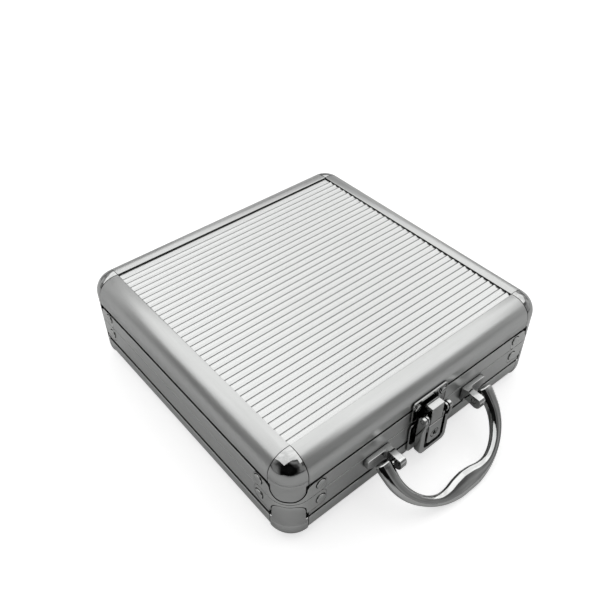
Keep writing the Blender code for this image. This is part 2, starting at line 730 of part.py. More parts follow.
def latch_lever(shop):
    """A dished lever: raised rim, U-shaped groove, boss with the lock, two ears at the top."""
    lever = round_box("lever", (-LEVER_HALF, front(LEVER_FRONT), LEVER_BOTTOM),
                      (LEVER_HALF, front(LEVER_BACK), LEVER_TOP), 1, LEVER_ROUND,
                      corners=lambda p: p.z < 0, segments=5)
    inner = LEVER_HALF - LEVER_WALL
    hollow = round_box("hollow", (-inner, front(LEVER_FRONT - LEVER_FACE), LEVER_BOTTOM + LEVER_WALL),
                       (inner, front(0), LEVER_TOP + OVER), 1, 2.6,
                       corners=lambda p: p.z < 0, segments=4)
    groove = round_box("groove", (-GROOVE_HALF, front(LEVER_FRONT + OVER), GROOVE_BOTTOM),
                       (GROOVE_HALF, front(LEVER_FRONT - GROOVE_DEEP), LEVER_TOP + OVER), 1, 3.0,
                       corners=lambda p: p.z < 0, segments=4)
    shop.cut(lever, hollow, groove)
    boss = round_box("boss", (-BOSS_HALF, front(LEVER_FRONT), BOSS_BOTTOM),
                     (BOSS_HALF, front(LEVER_FRONT - 2.0), LEVER_TOP - 0.2), 1, 2.2,
                     corners=lambda p: p.z < 0, segments=4)
    shop.join(lever, boss)
    for sign in (-1, 1):
        low, high = sorted((sign * EAR_IN, sign * LEVER_HALF))
        y, z = front(PIVOT_OFF), PIVOT_Z
        ear = [(front(LEVER_BACK), 28.0)] + [(y + EAR_RADIUS * 0.85, z - 1.8)]
        ear += arc((y, z), EAR_RADIUS, 0, 180, 10)
        ear += [(y - EAR_RADIUS * 0.75, z - 3.0), (front(LEVER_FRONT - 0.4), 28.0)]
        shop.join(lever, extruded("ear", ear, 0, low, high))
        low, high = sorted((sign * RIB[0], sign * RIB[1]))
        y, z = front(CLAW_PIN_OFF), CLAW_PIN_Z
        rib = [(front(3.4), 29.0), (y + 2.0, z)] + arc((y, z), 1.9, 10, 170, 6)
        rib += [(y - 1.7, z - 1.5), (front(LEVER_FRONT - 0.6), 32.4), (front(LEVER_FRONT - 0.6), 29.0)]
        shop.join(lever, extruded("rib", rib, 0, low, high))
        y = front(PIVOT_OFF)
        shop.cut(lever, rod("bore", (sign * (EAR_IN - 0.3), y, PIVOT_Z), (sign * 14, y, PIVOT_Z),
                            STUB_PIN_RADIUS + GAP, 16))
    y = front(CLAW_PIN_OFF)
    shop.cut(lever, rod("claw_bore", (-8.0, y, CLAW_PIN_Z), (8.0, y, CLAW_PIN_Z),
                        CLAW_PIN_RADIUS + GAP, 14))
    shop.cut(lever, rod("lock_bore", (0, front(2), LOCK_Z), (0, front(12), LOCK_Z),
                        LOCK_RADIUS + GAP, 24))
    shop.settle(lever)
    shop.keep(lever, "latch_lever", "lever", CHROME, "polished_chrome")
    reach = RIB[1] + 0.1
    pin = rod("pin", (-reach, y, CLAW_PIN_Z), (reach, y, CLAW_PIN_Z), CLAW_PIN_RADIUS, 14)
    shop.keep(pin, "claw_pin", "lever", CHROME, "polished_chrome")


def latch_claw(shop):
    """The block on the lever whose top flange reaches over the strike plate's shelf."""
    outline = [(front(4.6), CLAW_BOTTOM), (front(4.6), CLAW_HOOK), (front(2.4), CLAW_HOOK)]
    outline += [(front(2.4), CLAW_TOP), (front(7.0), CLAW_TOP), (front(7.8), CLAW_TOP - 0.8)]
    outline += [(front(7.8), CLAW_BOTTOM)]
    claw = extruded("claw", outline, 0, -CLAW_HALF, CLAW_HALF)
    shop.cut(claw, rod("bore", (-9, front(CLAW_PIN_OFF), CLAW_PIN_Z),
                       (9, front(CLAW_PIN_OFF), CLAW_PIN_Z), CLAW_PIN_RADIUS + GAP, 14))
    shop.settle(claw)
    shop.keep(claw, "latch_claw", "claw", CHROME, "polished_chrome")


def lock_cylinder(shop):
    """The key core: a barrel through the boss with a keyway, and a cam behind the lever."""
    core = rod("core", (0, front(3.0), LOCK_Z), (0, front(LEVER_FRONT + LOCK_PROUD), LOCK_Z),
               LOCK_RADIUS, 24)
    half_wide, half_high, deep = KEYWAY
    shop.cut(core, box("keyway", (-half_wide, front(LEVER_FRONT + OVER), LOCK_Z - half_high),
                       (half_wide, front(LEVER_FRONT - deep), LOCK_Z + half_high)))
    half_wide, down, up = CAM
    shop.join(core, box("cam", (-half_wide, front(4.4), LOCK_Z - down),
                        (half_wide, front(2.6), LOCK_Z + up)))
    shop.settle(core)
    shop.keep(core, "lock_cylinder", "lock", STEEL, "plated_steel")


# ---- handle -----------------------------------------------------------------------------------
def handle_bracket(shop, side, sign):
    """A plate on the band with a lug at its inner end; the handle hangs on the lug's outer side."""
    top, low = BRACKET_TOP, BRACKET_BOTTOM
    outline = [(LUG_IN, low), (LUG_IN, top), (BRACKET_OUT - 1.5, top), (BRACKET_OUT, top - 1.5)]
    outline += [(BRACKET_OUT, 28.6), (BRACKET_OUT - 2.0, 26.6), (41.5, low + 0.6), (40.0, low)]
    if sign < 0:
        outline = [(-x, z) for x, z in outline]
    plate = extruded("plate", outline, 1, front(BRACKET_THICK), front(GAP))
    low_x, high_x = sorted((sign * LUG_IN, sign * (LUG_IN + LUG_THICK)))
    y, z = front(HANDLE_PIVOT_OFF), HANDLE_PIVOT_Z
    inside = front(BRACKET_THICK / 2.0)
    lug = [(inside, LUG_LOW), (inside, top)]
    lug += arc((front(LUG_TIP_OFF - LUG_TIP_TOP), top - LUG_TIP_TOP), LUG_TIP_TOP, 90, 180, 5)
    lug += arc((front(LUG_TIP_OFF - LUG_TIP_BOTTOM), LUG_TIP_LOW + LUG_TIP_BOTTOM), LUG_TIP_BOTTOM,
               180, 270, 6)
    shop.join(plate, extruded("lug", lug, 0, low_x, high_x))
    root = LUG_IN + LUG_THICK
    middle = LUG_IN + LUG_THICK / 2.0
    fillet = [(middle, inside), (root + LUG_FILLET, inside)]
    fillet += [(x, front(off)) for x, off in
               arc((root + LUG_FILLET, BRACKET_THICK + LUG_FILLET), LUG_FILLET, 270, 180, 5)]
    fillet += [(middle, front(BRACKET_THICK + LUG_FILLET))]
    fillet = [(sign * x, y_pair) for x, y_pair in fillet]
    shop.join(plate, extruded("fillet", fillet, 2, LUG_LOW, top))
    shop.cut(plate, rod("bore", (sign * (LUG_IN - 2), y, z), (sign * (LUG_IN + LUG_THICK + 2), y, z),
                        HANDLE_PIN_RADIUS + GAP))
    shop.settle(plate)
    shop.keep(plate, "handle_bracket_" + side, "base", CHROME, "polished_chrome")
    radius, thick = HANDLE_PIN_HEAD
    under_head = LUG_IN - GAP
    pin = rod("pin", (sign * (under_head - thick / 2), y, z), (sign * HANDLE_PIN_END, y, z),
              HANDLE_PIN_RADIUS, 18)
    shop.join(pin, rod("head", (sign * (under_head - thick), y, z), (sign * under_head, y, z),
                       radius, 20))
    shop.settle(pin)
    shop.keep(pin, "handle_pin_" + side, "base", CHROME, "polished_chrome")


# Stations of the handle's right half, from its middle to its end, in the handle's own plane:
# (across, reach from the pivot, width, thickness, direction of the bar in degrees).
HANDLE_STATIONS = (
    (0.0, 34.4, 12.0, 6.0, 0.0),
    (7.0, 34.7, 11.2, 6.0, -1.0),
    (14.0, 34.7, 8.6, 5.8, -5.0),
    (20.5, 33.4, 6.6, 5.8, -18.0),
    (27.0, 30.2, 6.0, 6.0, -33.0),
    (33.2, 25.0, 6.4, 6.2, -47.0),
    (38.0, 18.4, 7.2, 6.6, -61.0),
    (40.8, 11.4, 8.0, 6.8, -74.0),
    (41.7, 5.0, 8.8, 7.0, -84.0),
    (42.0, 0.0, 9.4, 7.0, -90.0),
)
HANDLE_END_REACH = 3.6   # how far the ends stand past the pivot


def handle_section(width, thick):
    """A cast section: broad faces with a chamfer all round. The pairs are (across, up)."""
    a, b = width / 2, thick / 2
    c, d = min(2.4, a * 0.5), b * 0.45
    return [(a, -d), (a, d), (a - c, b), (-a + c, b), (-a, d), (-a, -d), (-a + c, -b), (a - c, -b)]


def handle(shop):
    """A cast loop with a finger swell, lofted through its stations, hanging from its pins."""
    right = [(x, -r, w, t, math.radians(a)) for x, r, w, t, a in HANDLE_STATIONS]
    last = right[-1]
    right.append((last[0], HANDLE_END_REACH - 1.6, last[2], last[3], last[4]))
    right.append((last[0], HANDLE_END_REACH, last[2], last[3] - 3.0, last[4]))
    stations = [(-x, r, w, t, -a) for x, r, w, t, a in reversed(right[1:])] + right
    bm = bmesh.new()
    rings = []
    for x, y, width, thick, angle in stations:
        normal = Vector((math.sin(angle), math.cos(angle), 0))
        ring = []
        for across, up in handle_section(width, thick):
            ring.append(bm.verts.new(Vector((x, y, up)) + normal * across))
        rings.append(ring)
    for first, second in zip(rings, rings[1:]):
        for i in range(len(first)):
            j = (i + 1) % len(first)
            bm.faces.new((first[i], first[j], second[j], second[i]))
    bm.faces.new(rings[0])
    bm.faces.new(list(reversed(rings[-1])))
    loop = from_bmesh(bm, "loop")
    for sign in (-1, 1):
        shop.cut(loop, rod("bore", (sign * 30, 0, 0), (sign * 44.0, 0, 0), HANDLE_PIN_RADIUS + GAP, 18))
    shop.settle(loop)
    droop = Matrix.Rotation(math.radians(HANDLE_DROOP), 4, "X")
    pivot = Vector((0, front(HANDLE_PIVOT_OFF), HANDLE_PIVOT_Z)) * MM
    loop.data.transform(Matrix.Translation(pivot) @ droop)
    shop.keep(loop, "handle", "handle", CHROME, "polished_chrome")


def centre_footprint(shop):
    """Stands the case with the middle of its footprint, handle and hinges included, on the origin."""
    bpy.context.view_layer.update()
    reach = []
    for name in ("handle", "hinge_base_leaf_left"):
        thing = shop.parts.objects[name]
        reach += [(thing.matrix_world @ vertex.co).y for vertex in thing.data.vertices]
    shop.bodies["base"][0].location.y = -(min(reach) + max(reach)) / 2


def main():
    shop = Shop()
    shop.body("base")
    shop.body("lid", "base", (0, BACK + KNUCKLE_OFF, PARTING))
    shop.body("handle", "base", (0, front(HANDLE_PIVOT_OFF), HANDLE_PIVOT_Z))
    shop.body("lever", "base", (0, front(PIVOT_OFF), PIVOT_Z))
    shop.body("claw", "lever", (0, front(CLAW_PIN_OFF), CLAW_PIN_Z))
    shop.body("lock", "lever", (0, front(LEVER_FRONT), LOCK_Z))
    for lid in (True, False):
        half = Half(lid)
        panel(shop, half)
        for side, turn in SIDES:
            edge_profile(shop, half, side, turn)
            mouth_bar(shop, half, side, turn)
        corners(shop, half)
        wall_boards(shop, half)
    lid_foam_pad(shop)
    chip_tray(shop)
    for side, sign in (("left", -1), ("right", 1)):
        hinge(shop, side, sign * HINGE_X)
        handle_bracket(shop, side, sign)
        lever_pin(shop, side, sign)
    strike_plate(shop)
    latch_base_plate(shop)
    latch_lever(shop)
    latch_claw(shop)
    lock_cylinder(shop)
    handle(shop)
    centre_footprint(shop)


main()
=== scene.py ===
"""Looks of the poker chip case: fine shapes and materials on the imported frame, studio light and camera.

Shapes are drawn in millimetres in the case's own frame: its middle at x = y = 0, the table at z = 0, the
front towards -Y. keep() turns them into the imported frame's metres. A size or function that is given
lid has one form for the lid, True, and one for the base, False.
"""

import math

import bmesh
import bpy
from mathutils import Matrix, Vector

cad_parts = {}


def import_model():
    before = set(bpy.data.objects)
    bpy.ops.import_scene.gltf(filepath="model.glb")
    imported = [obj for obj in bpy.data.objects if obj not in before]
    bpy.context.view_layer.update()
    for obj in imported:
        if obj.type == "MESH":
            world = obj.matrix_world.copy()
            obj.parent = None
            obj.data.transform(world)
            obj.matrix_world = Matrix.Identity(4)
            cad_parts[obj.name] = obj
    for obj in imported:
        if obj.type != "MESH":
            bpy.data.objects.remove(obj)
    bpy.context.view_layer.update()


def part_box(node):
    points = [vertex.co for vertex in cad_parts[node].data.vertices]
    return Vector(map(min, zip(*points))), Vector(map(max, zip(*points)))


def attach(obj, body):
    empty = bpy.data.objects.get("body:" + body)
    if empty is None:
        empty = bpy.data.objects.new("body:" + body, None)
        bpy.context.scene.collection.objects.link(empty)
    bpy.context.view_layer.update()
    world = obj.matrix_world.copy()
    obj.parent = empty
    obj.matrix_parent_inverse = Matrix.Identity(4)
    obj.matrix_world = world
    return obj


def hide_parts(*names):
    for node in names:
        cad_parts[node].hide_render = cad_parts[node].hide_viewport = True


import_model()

# ---- the case's frame, read from the CAD ----
MM = 0.001
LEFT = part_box("lid_profile_left")[0]
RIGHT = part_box("lid_profile_right")[1]
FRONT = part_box("lid_profile_front")[0]
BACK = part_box("lid_profile_back")[1]
CENTRE = Vector(((LEFT.x + RIGHT.x) / 2, (FRONT.y + BACK.y) / 2, 0))
HALF_X = (RIGHT.x - LEFT.x) / 2 / MM
HALF_Y = (BACK.y - FRONT.y) / 2 / MM
HEIGHT = BACK.z / MM

# ---- sizes that several pieces share, in millimetres ----
PARTING = 34.5  # where the case opens
SKIN = 1.3  # thickness of profiles, bands and corner pieces
RETURN = 2.6  # depth of the profiles' and bands' returned edges
EDGE = 12.0  # radius of the profiles' outer edge
LIP = 14.8  # lip's edge, from the outer face
CHANNEL = 3.6  # depth of the panel's channel behind the lip's edge
CHANNEL_LOW = 4.9  # the channel's far side, below the lip
ENDS_IN = 15.0  # profiles and bands end this far from the corner
PROFILE_LOW = 17.4  # a profile's foot, from the case's top or bottom
LID_BAND = (34.7, 45.4)
BASE_BAND = (19.6, 34.3)
WIDER = 0.6  # what a band gives up along the two sides, where the joint is wider
WIDER_FOOT = 0.4  # what a profile's foot gives up there
TONGUE_TOP = 38.0  # the base band's tongue, inside the lid's band
CORNER = 14.7  # vertical corner radius
BALL_ROUND = {True: 12.0, False: 10.2}  # radius of a ball corner's edge
CREASE_END = 15.0  # foot of the crease between ball and leg
LEG_ENDS = {True: 37.2, False: 31.8}
LEG_ROUND = 6.0
LEG_HALF = 9.0  # half a leg's width across the corner's diagonal
SHOULDER = 0.1  # beside its leg a ball ends this far past the profiles' feet
SHOULDER_EASE = 0.9
NOTCH_GAP = {True: 0.85, False: 0.45}  # gap between a leg and its corner plate
NOTCH_FLARE = {True: 2.6, False: 1.3}  # and its rounding at the plate's edge
BASE_PLATE_LOW = 22.6
PLATE_ARM = 27.0  # a corner plate's reach from the corner
PLATE_ROUND = 4.2
RIVET_IN = 22.9
RIVET_Z = {True: 41.3, False: 28.0}
RIVET_R = 2.95
SEAT_R = 3.45  # the dished seat round a rivet


# ---- helpers ----
def linked(name, data):
    """A new object in the scene."""
    made = bpy.data.objects.new(name, data)
    bpy.context.scene.collection.objects.link(made)
    return made


def new_object(bm, name):
    """A mesh object made from a bmesh."""
    mesh = bpy.data.meshes.new(name)
    bm.to_mesh(mesh)
    bm.free()
    return linked(name, mesh)


def outward(bm):
    """Turns the faces outwards."""
    bmesh.ops.recalc_face_normals(bm, faces=bm.faces)
    return bm


def keep(bm, name, body, node, looks, sharp=34, weighted=True):
    """Makes a piece of a shape in case millimetres, shades it, and hangs it on its body in place of
    its CAD node, if it has one."""
    outward(bm)
    bmesh.ops.scale(bm, vec=Vector((MM, MM, MM)), verts=bm.verts)
    bmesh.ops.translate(bm, vec=CENTRE, verts=bm.verts)
    thing = new_object(bm, name)
    for look in looks:
        thing.data.materials.append(look)
    thing.data.shade_smooth()
    thing.data.set_sharp_from_angle(angle=math.radians(sharp))
    if weighted:
        step = thing.modifiers.new("weighted_normals", "WEIGHTED_NORMAL")
        step.keep_sharp = True
    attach(thing, body)
    if node:
        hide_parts(node)
    return thing


def arc(centre, radius, start, end, steps):
    """Points of an arc, from one angle in degrees to another."""
    points = []
    for i in range(steps + 1):
        angle = math.radians(start + (end - start) * i / steps)
        points.append((centre[0] + radius * math.cos(angle), centre[1] + radius * math.sin(angle)))
    return points


def beside(sign, near, far):
    """A span along X on the left or the right."""
    return sorted((sign * near, sign * far))


def circle(centre, radius, points):
    return arc(centre, radius, 0, 360 - 360 / points, points - 1)


def loft(rings, caps=True):
    """A skin through closed rings of equal length."""
    bm = bmesh.new()
    made = [[bm.verts.new(point) for point in ring] for ring in rings]
    for first, second in zip(made, made[1:]):
        for i in range(len(first)):
            j = (i + 1) % len(first)
            bm.faces.new((first[i], first[j], second[j], second[i]))
    if caps:
        bm.faces.new(made[0])
        bm.faces.new(list(reversed(made[-1])))
    return bm


def shrink(pairs, distance):
    """A closed outline moved inwards, whichever way round it runs."""
    area = sum(a[0] * b[1] - b[0] * a[1] for a, b in zip(pairs, pairs[1:] + pairs[:1]))
    side = 1 if area > 0 else -1
    moved = []
    for i, point in enumerate(pairs):
        before, after = pairs[i - 1], pairs[(i + 1) % len(pairs)]
        a = Vector((point[0] - before[0], point[1] - before[1])).normalized()
        b = Vector((after[0] - point[0], after[1] - point[1])).normalized()
        na, nb = Vector((-a.y, a.x)) * side, Vector((-b.y, b.x)) * side
        middle = (na if (na + nb).length < 0.3 else na + nb).normalized()
        reach = distance / max(0.5, middle.dot(na))
        moved.append((point[0] + middle.x * reach, point[1] + middle.y * reach))
    return moved


def lift(pairs, axis, along):
    """An outline's pairs as points at one place along an axis."""
    points = []
    for pair in pairs:
        point = list(pair)
        point.insert(axis, along)
        points.append(Vector(point))
    return points


def stack(pairs, axis, stations):
    """A skin through an outline at places along an axis, each with its inset."""
    return loft([lift(shrink(pairs, inset) if inset else pairs, axis, along) for along, inset in stations])


def bar(pairs, axis, low, high, edge=0.0):
    """An outline extruded along an axis, its end edges eased."""
    stations = [(low, 0.0), (high, 0.0)]
    if edge:
        stations = [(low, edge), (low + 0.3 * edge, 0.3 * edge), (low + edge, 0.0)]
        stations += [(high - edge, 0.0), (high - 0.3 * edge, 0.3 * edge), (high, edge)]
    return stack(pairs, axis, stations)


def rounded(low, high, radius, steps=5, corners=(1, 1, 1, 1)):
    """A rectangle's outline with rounded corners: low left, low right, high right, high left."""
    (x0, y0), (x1, y1) = low, high
    pairs = []
    for pick, cx, cy, start in zip(corners, (x0, x1, x1, x0), (y0, y0, y1, y1), (180, 270, 0, 90)):
        r = radius if pick else 0.0
        x = cx + (r if cx == x0 else -r)
        y = cy + (r if cy == y0 else -r)
        pairs += arc((x, y), r, start, start + 90, steps) if r else [(cx, cy)]
    return pairs


def turned(pairs, sides, axis, at, sign=1):
    """A lathe shape from (radius, height) pairs that start and end on the axis, standing at a point
    along X, axis 0, or Y, axis 1, towards its positive or negative end."""
    bm = bmesh.new()
    rings = []
    for radius, height in pairs:
        angles = [2 * math.pi * i / sides for i in range(sides if radius else 1)]
        rings.append([bm.verts.new((radius * math.cos(a), radius * math.sin(a), height)) for a in angles])
    for first, second in zip(rings, rings[1:]):
        for i in range(sides):
            j = (i + 1) % sides
            corners = [ring[k % len(ring)] for ring, k in ((first, i), (second, i), (second, j), (first, j))]
            bm.faces.new(list(dict.fromkeys(corners)))
    if sign < 0:
        bmesh.ops.scale(bm, vec=Vector((1, 1, -1)), verts=bm.verts)
    return spin(bm, *((90, "Y"), (-90, "X"))[axis], at)


def soften(bm, width, segments, angle, pick=None):
    """Rounds a shape's sharp edges, all or those that are picked."""
    chosen = [edge for edge in bm.edges if len(edge.link_faces) == 2
              and edge.calc_face_angle(0) > math.radians(angle) and (pick is None or pick(edge))]
    bmesh.ops.bevel(bm, geom=chosen, offset=width, segments=segments, affect="EDGES", profile=0.5,
                    clamp_overlap=True)
    return bm


def merged(*bms):
    """Several shapes as one bmesh, each keeping its own closed skin."""
    whole = bmesh.new()
    for bm in bms:
        part = bpy.data.meshes.new("part")
        outward(bm).to_mesh(part)
        bm.free()
        whole.from_mesh(part)
        bpy.data.meshes.remove(part)
    return whole


def combined(bm, others, operation):
    """Exact booleans on shapes in millimetres; the tiny edges that they leave are merged."""
    thing = new_object(outward(bm), "work")
    tools = [new_object(outward(other), "tool") for other in others]
    for tool in tools:
        step = thing.modifiers.new("step", "BOOLEAN")
        step.operation, step.solver, step.object = operation, "EXACT", tool
    bpy.context.view_layer.update()
    mesh = bpy.data.meshes.new_from_object(thing.evaluated_get(bpy.context.evaluated_depsgraph_get()))
    result = bmesh.new()
    result.from_mesh(mesh)
    for old in [thing, *tools]:
        data = old.data
        bpy.data.objects.remove(old)
        bpy.data.meshes.remove(data)
    bpy.data.meshes.remove(mesh)
    tiny = 0.002
    bmesh.ops.remove_doubles(result, verts=result.verts, dist=tiny)
    bmesh.ops.dissolve_degenerate(result, edges=result.edges, dist=tiny)
    return result


def cut(bm, *others):
    return combined(bm, others, "DIFFERENCE")


def join(bm, *others):
    return combined(bm, others, "UNION")


def spin(bm, degrees, axis, shift=(0, 0, 0)):
    """Turns a shape round an axis through zero, then moves it."""
    turn = Matrix.Translation(Vector(shift)) @ Matrix.Rotation(math.radians(degrees), 4, axis)
    bmesh.ops.transform(bm, matrix=turn, verts=bm.verts)
    return bm


# ---- materials ----
BRIGHT = (0.60, 0.605, 0.60)
PAINTED_SHADE_REACH = 0.0011  # metres, how far the painted shade in crevices reaches


def new_node(tree, kind, inputs=None, **settings):
    """A node with its settings, and with inputs that are linked to a socket or set to a value."""
    made = tree.nodes.new(kind)
    for key, value in settings.items():
        setattr(made, key, value)
    for key, value in (inputs or {}).items():
        if isinstance(value, bpy.types.NodeSocket):
            tree.links.new(value, made.inputs[key])
        else:
            made.inputs[key].default_value = value
    return made


def ramp(tree, value, near, far, low, high, kind="LINEAR"):
    """Maps near..far onto low..high, and holds the ends."""
    made = new_node(tree, "ShaderNodeMapRange", {"Value": value, "From Min": near, "From Max": far,
                                                 "To Min": low, "To Max": high}, interpolation_type=kind)
    return made.outputs["Result"]


class Look:
    """A procedural material on object coordinates, so that grain keeps its real size."""

    def __init__(self, name, colour, metallic, roughness):
        self.made = bpy.data.materials.new(name)
        self.made.use_nodes = True
        self.tree = self.made.node_tree
        self.shader = self.tree.nodes["Principled BSDF"]
        self.put({"Base Color": (*colour, 1), "Metallic": metallic, "Roughness": roughness})
        self.where = self.node("ShaderNodeTexCoord").outputs["Object"]

    def node(self, kind, inputs=None, **settings):
        return new_node(self.tree, kind, inputs, **settings)

    def put(self, values):
        """Sets some of the shader's inputs."""
        for key, value in values.items():
            self.shader.inputs[key].default_value = value

    def drive(self, name, value):
        """Links a socket to one of the shader's inputs."""
        self.tree.links.new(value, self.shader.inputs[name])

    def noise(self, scale, detail=3.0, rough=0.5, stretch=(1, 1, 1)):
        """Noise with its feature size set per metre and stretched along the axes."""
        mapping = self.node("ShaderNodeMapping", {"Vector": self.where, "Scale": stretch})
        noise = self.node("ShaderNodeTexNoise", {"Vector": mapping.outputs["Vector"], "Scale": scale,
                                                 "Detail": detail, "Roughness": rough})
        return noise.outputs["Fac"]

    def spread(self, value, low, high, near=0.3, far=0.7):
        """Maps a texture's middle range onto low..high."""
        return ramp(self.tree, value, near, far, low, high)

    def both(self, a, b, how="ADD"):
        """Two values added, or multiplied."""
        return self.node("ShaderNodeMath", {0: a, 1: b}, operation=how).outputs[0]

    def rough(self, value):
        self.drive("Roughness", value)

    def tint(self, value, dark, light):
        """Base colour between two shades, by a 0..1 value."""
        mix = self.node("ShaderNodeMix", {0: value, 6: (*dark, 1), 7: (*light, 1)}, data_type="RGBA")
        self.drive("Base Color", mix.outputs[2])

    def bump(self, value, depth, strength, under=None):
        """Relief of a depth in metres, on top of another."""
        bump = self.node("ShaderNodeBump", {"Strength": strength, "Distance": depth, "Height": value})
        if under is not None:
            self.tree.links.new(under, bump.inputs["Normal"])
        self.drive("Normal", bump.outputs["Normal"])
        return bump.outputs["Normal"]

    def metal_with_painted_shade(self, value, colour, least=0.3, reach=PAINTED_SHADE_REACH):
        """Base colour by a 0..1 value, with painted shade: darker in crevices, by ambient occlusion."""
        corner = self.node("ShaderNodeAmbientOcclusion", {"Distance": reach}, samples=6)
        open_to_light = self.spread(corner.outputs["AO"], least, 1.0, 0.45, 0.92)
        self.tint(self.both(value, open_to_light, "MULTIPLY"), (0, 0, 0), colour)

    def edges(self, dull):
        """1 on worn convex edges, and a duller value elsewhere."""
        geometry = self.node("ShaderNodeNewGeometry")
        convex = self.spread(geometry.outputs["Pointiness"], 0.0, 1.0, 0.505, 0.56)
        return self.spread(convex, dull, 1.0, 0, 1)


def shade(colour, factor):
    """A lighter or darker colour."""
    return tuple(min(1.0, part * factor) for part in colour)


def extruded_aluminium(name, stretch):
    """Satin anodised extrusion: fine die lines along its length, slight clouding."""
    colour = (0.60, 0.607, 0.60)
    look = Look(name, colour, 0.84, 0.3)
    lines = look.noise(2600, 2, 0.6, stretch)
    cloud = look.noise(28, 3, 0.55)
    blast = look.noise(4200, 2, 0.6)
    look.rough(look.both(look.spread(cloud, 0.27, 0.31), look.spread(blast, 0.0, 0.05)))
    tone = look.spread(look.both(cloud, lines, "MULTIPLY"), 0.93, 1.0, 0.1, 0.4)
    # Painted shade: the colour darkens in crevices and along the joints.
    look.metal_with_painted_shade(tone, shade(colour, 1.03))
    under = look.bump(lines, 0.000002, 0.4)
    look.bump(blast, 0.000004, 0.5, under)
    return look.made


def ribbed_sheet():
    """The panels' bright sheet: brushed along the ribs under a clear satin film."""
    colour = (0.655, 0.661, 0.655)
    look = Look("ribbed_sheet", colour, 0.92, 0.22)
    streaks = look.noise(3400, 2, 0.65, (0.012, 1, 1))
    cloud = look.noise(22, 3, 0.5)
    look.rough(look.both(look.spread(cloud, 0.18, 0.22), look.spread(streaks, 0.0, 0.06)))
    # Painted shade: the colour darkens in the grooves behind the ribs and by the lips.
    look.metal_with_painted_shade(look.spread(streaks, 0.95, 1.0), shade(colour, 1.02), 0.45)
    look.bump(streaks, 0.000003, 0.5)
    return look.made


def chrome(name, colour=BRIGHT, waviness=1.0, roughness=0.07, least=0.22, reach=PAINTED_SHADE_REACH):
    """Polished plating over a stamped or cast piece: slightly wavy, faint smears, worn edges, and painted
    shade in its hollows.
    """
    look = Look(name, colour, 1.0, roughness)
    smear = look.noise(70, 4, 0.6)
    hair = look.noise(1500, 2, 0.7, (0.08, 1, 0.6))
    smeared = look.spread(smear, roughness * 0.7, roughness * 1.6)
    look.rough(look.both(smeared, look.spread(hair, 0.0, 0.03, 0.55, 0.8)))
    # Painted shade: the colour darkens in hollows, as deep and as far as least and reach say.
    look.metal_with_painted_shade(look.edges(0.85), shade(colour, 1.18), least, reach)
    under = look.bump(look.noise(95, 1, 0.4), 0.00012 * waviness, 0.5)
    look.bump(hair, 0.000002, 0.4, under)
    return look.made


def plated_steel():
    """Satin nickel plating on the corner plates, rivets and hinges."""
    colour = (0.585, 0.592, 0.582)
    look = Look("plated_steel", colour, 1.0, 0.2)
    cloud = look.noise(55, 4, 0.6)
    grain = look.noise(2800, 2, 0.6)
    look.rough(look.both(look.spread(cloud, 0.15, 0.24), look.spread(grain, 0.0, 0.05)))
    # Painted shade: darker in crevices, round the rivets and plate edges.
    look.metal_with_painted_shade(look.edges(0.86), shade(colour, 1.15), 0.22)
    under = look.bump(look.noise(140, 1), 0.00004, 0.35)
    look.bump(grain, 0.000003, 0.4, under)
    return look.made


def black_board():
    """Black laminate on the wall boards, with a fine leather-like grain; the same black is also painted as
    shade in channels, joints and rivet seats.
    """
    colour = (0.012, 0.012, 0.012)
    look = Look("black_laminate", colour, 0.0, 0.55)
    grain = look.noise(900, 4, 0.6)
    look.rough(look.spread(grain, 0.45, 0.65))
    look.tint(look.spread(look.noise(60), 0, 1), shade(colour, 0.8), shade(colour, 1.4))
    look.bump(grain, 0.00006, 0.5)
    return look.made


def flocked_foam():
    """Black flocking on foam: matte, with a soft sheen and fine fibres."""
    colour = (0.017, 0.017, 0.019)
    look = Look("flocked_foam", colour, 0.0, 0.92)
    fibre = look.noise(3600, 4, 0.75)
    nap = look.noise(160, 3, 0.6)
    look.tint(look.spread(look.both(fibre, nap, "MULTIPLY"), 0, 1, 0.12, 0.38), shade(colour, 0.55),
              shade(colour, 1.9))
    under = look.bump(fibre, 0.00022, 0.8)
    look.bump(nap, 0.0004, 0.25, under)
    look.put({"Sheen Weight": 0.55, "Sheen Roughness": 0.5, "Specular IOR Level": 0.2})
    return look.made


ALONG_X = extruded_aluminium("satin_extrusion_x", (0.02, 1, 1))
ALONG_Y = extruded_aluminium("satin_extrusion_y", (1, 0.02, 1))
SHEET = ribbed_sheet()
BALL = chrome("polished_corner", (0.52, 0.525, 0.52), waviness=26.0, roughness=0.05)
CAST = chrome("polished_casting", roughness=0.075)
# The latch's copy paints darker shade, reaching 4.5 mm.
LATCH = chrome("polished_latch", (0.55, 0.555, 0.55), least=0.1, reach=0.0045)
# The lugs' copy paints shade reaching 14 mm, darkening the brackets broadly.
LUG = chrome("polished_lug", least=0.16, reach=0.014)
STEEL = plated_steel()
BOARD_AND_PAINTED_SHADE = black_board()
FLOCK = flocked_foam()
SLOTS = {SHEET: "ribbed_panel", STEEL: "plated_steel", BOARD_AND_PAINTED_SHADE: "black_board", FLOCK: "black_foam",
         **dict.fromkeys((ALONG_X, ALONG_Y), "satin_aluminium"),
         **dict.fromkeys((BALL, CAST, LATCH, LUG), "polished_chrome")}


# ---- shell ----
SIDES = (("front", 0), ("right", 90), ("back", 180), ("left", 270))
CORNERS = (("front_left", 0, -1, -1), ("front_right", 90, 1, -1), ("back_right", 180, 1, 1),
           ("back_left", 270, -1, 1))
HALF = {True: "lid", False: "base"}


def flip(lid, depth):
    """Height at a depth from the lid's top or the base's bottom, or the depth at a height."""
    return HEIGHT - depth if lid else depth


def side_facts(turn):
    """Half a side's length, its distance from the middle, and whether it runs along Y."""
    along_y = turn in (90, 270)
    return (HALF_Y, HALF_X, True) if along_y else (HALF_X, HALF_Y, False)


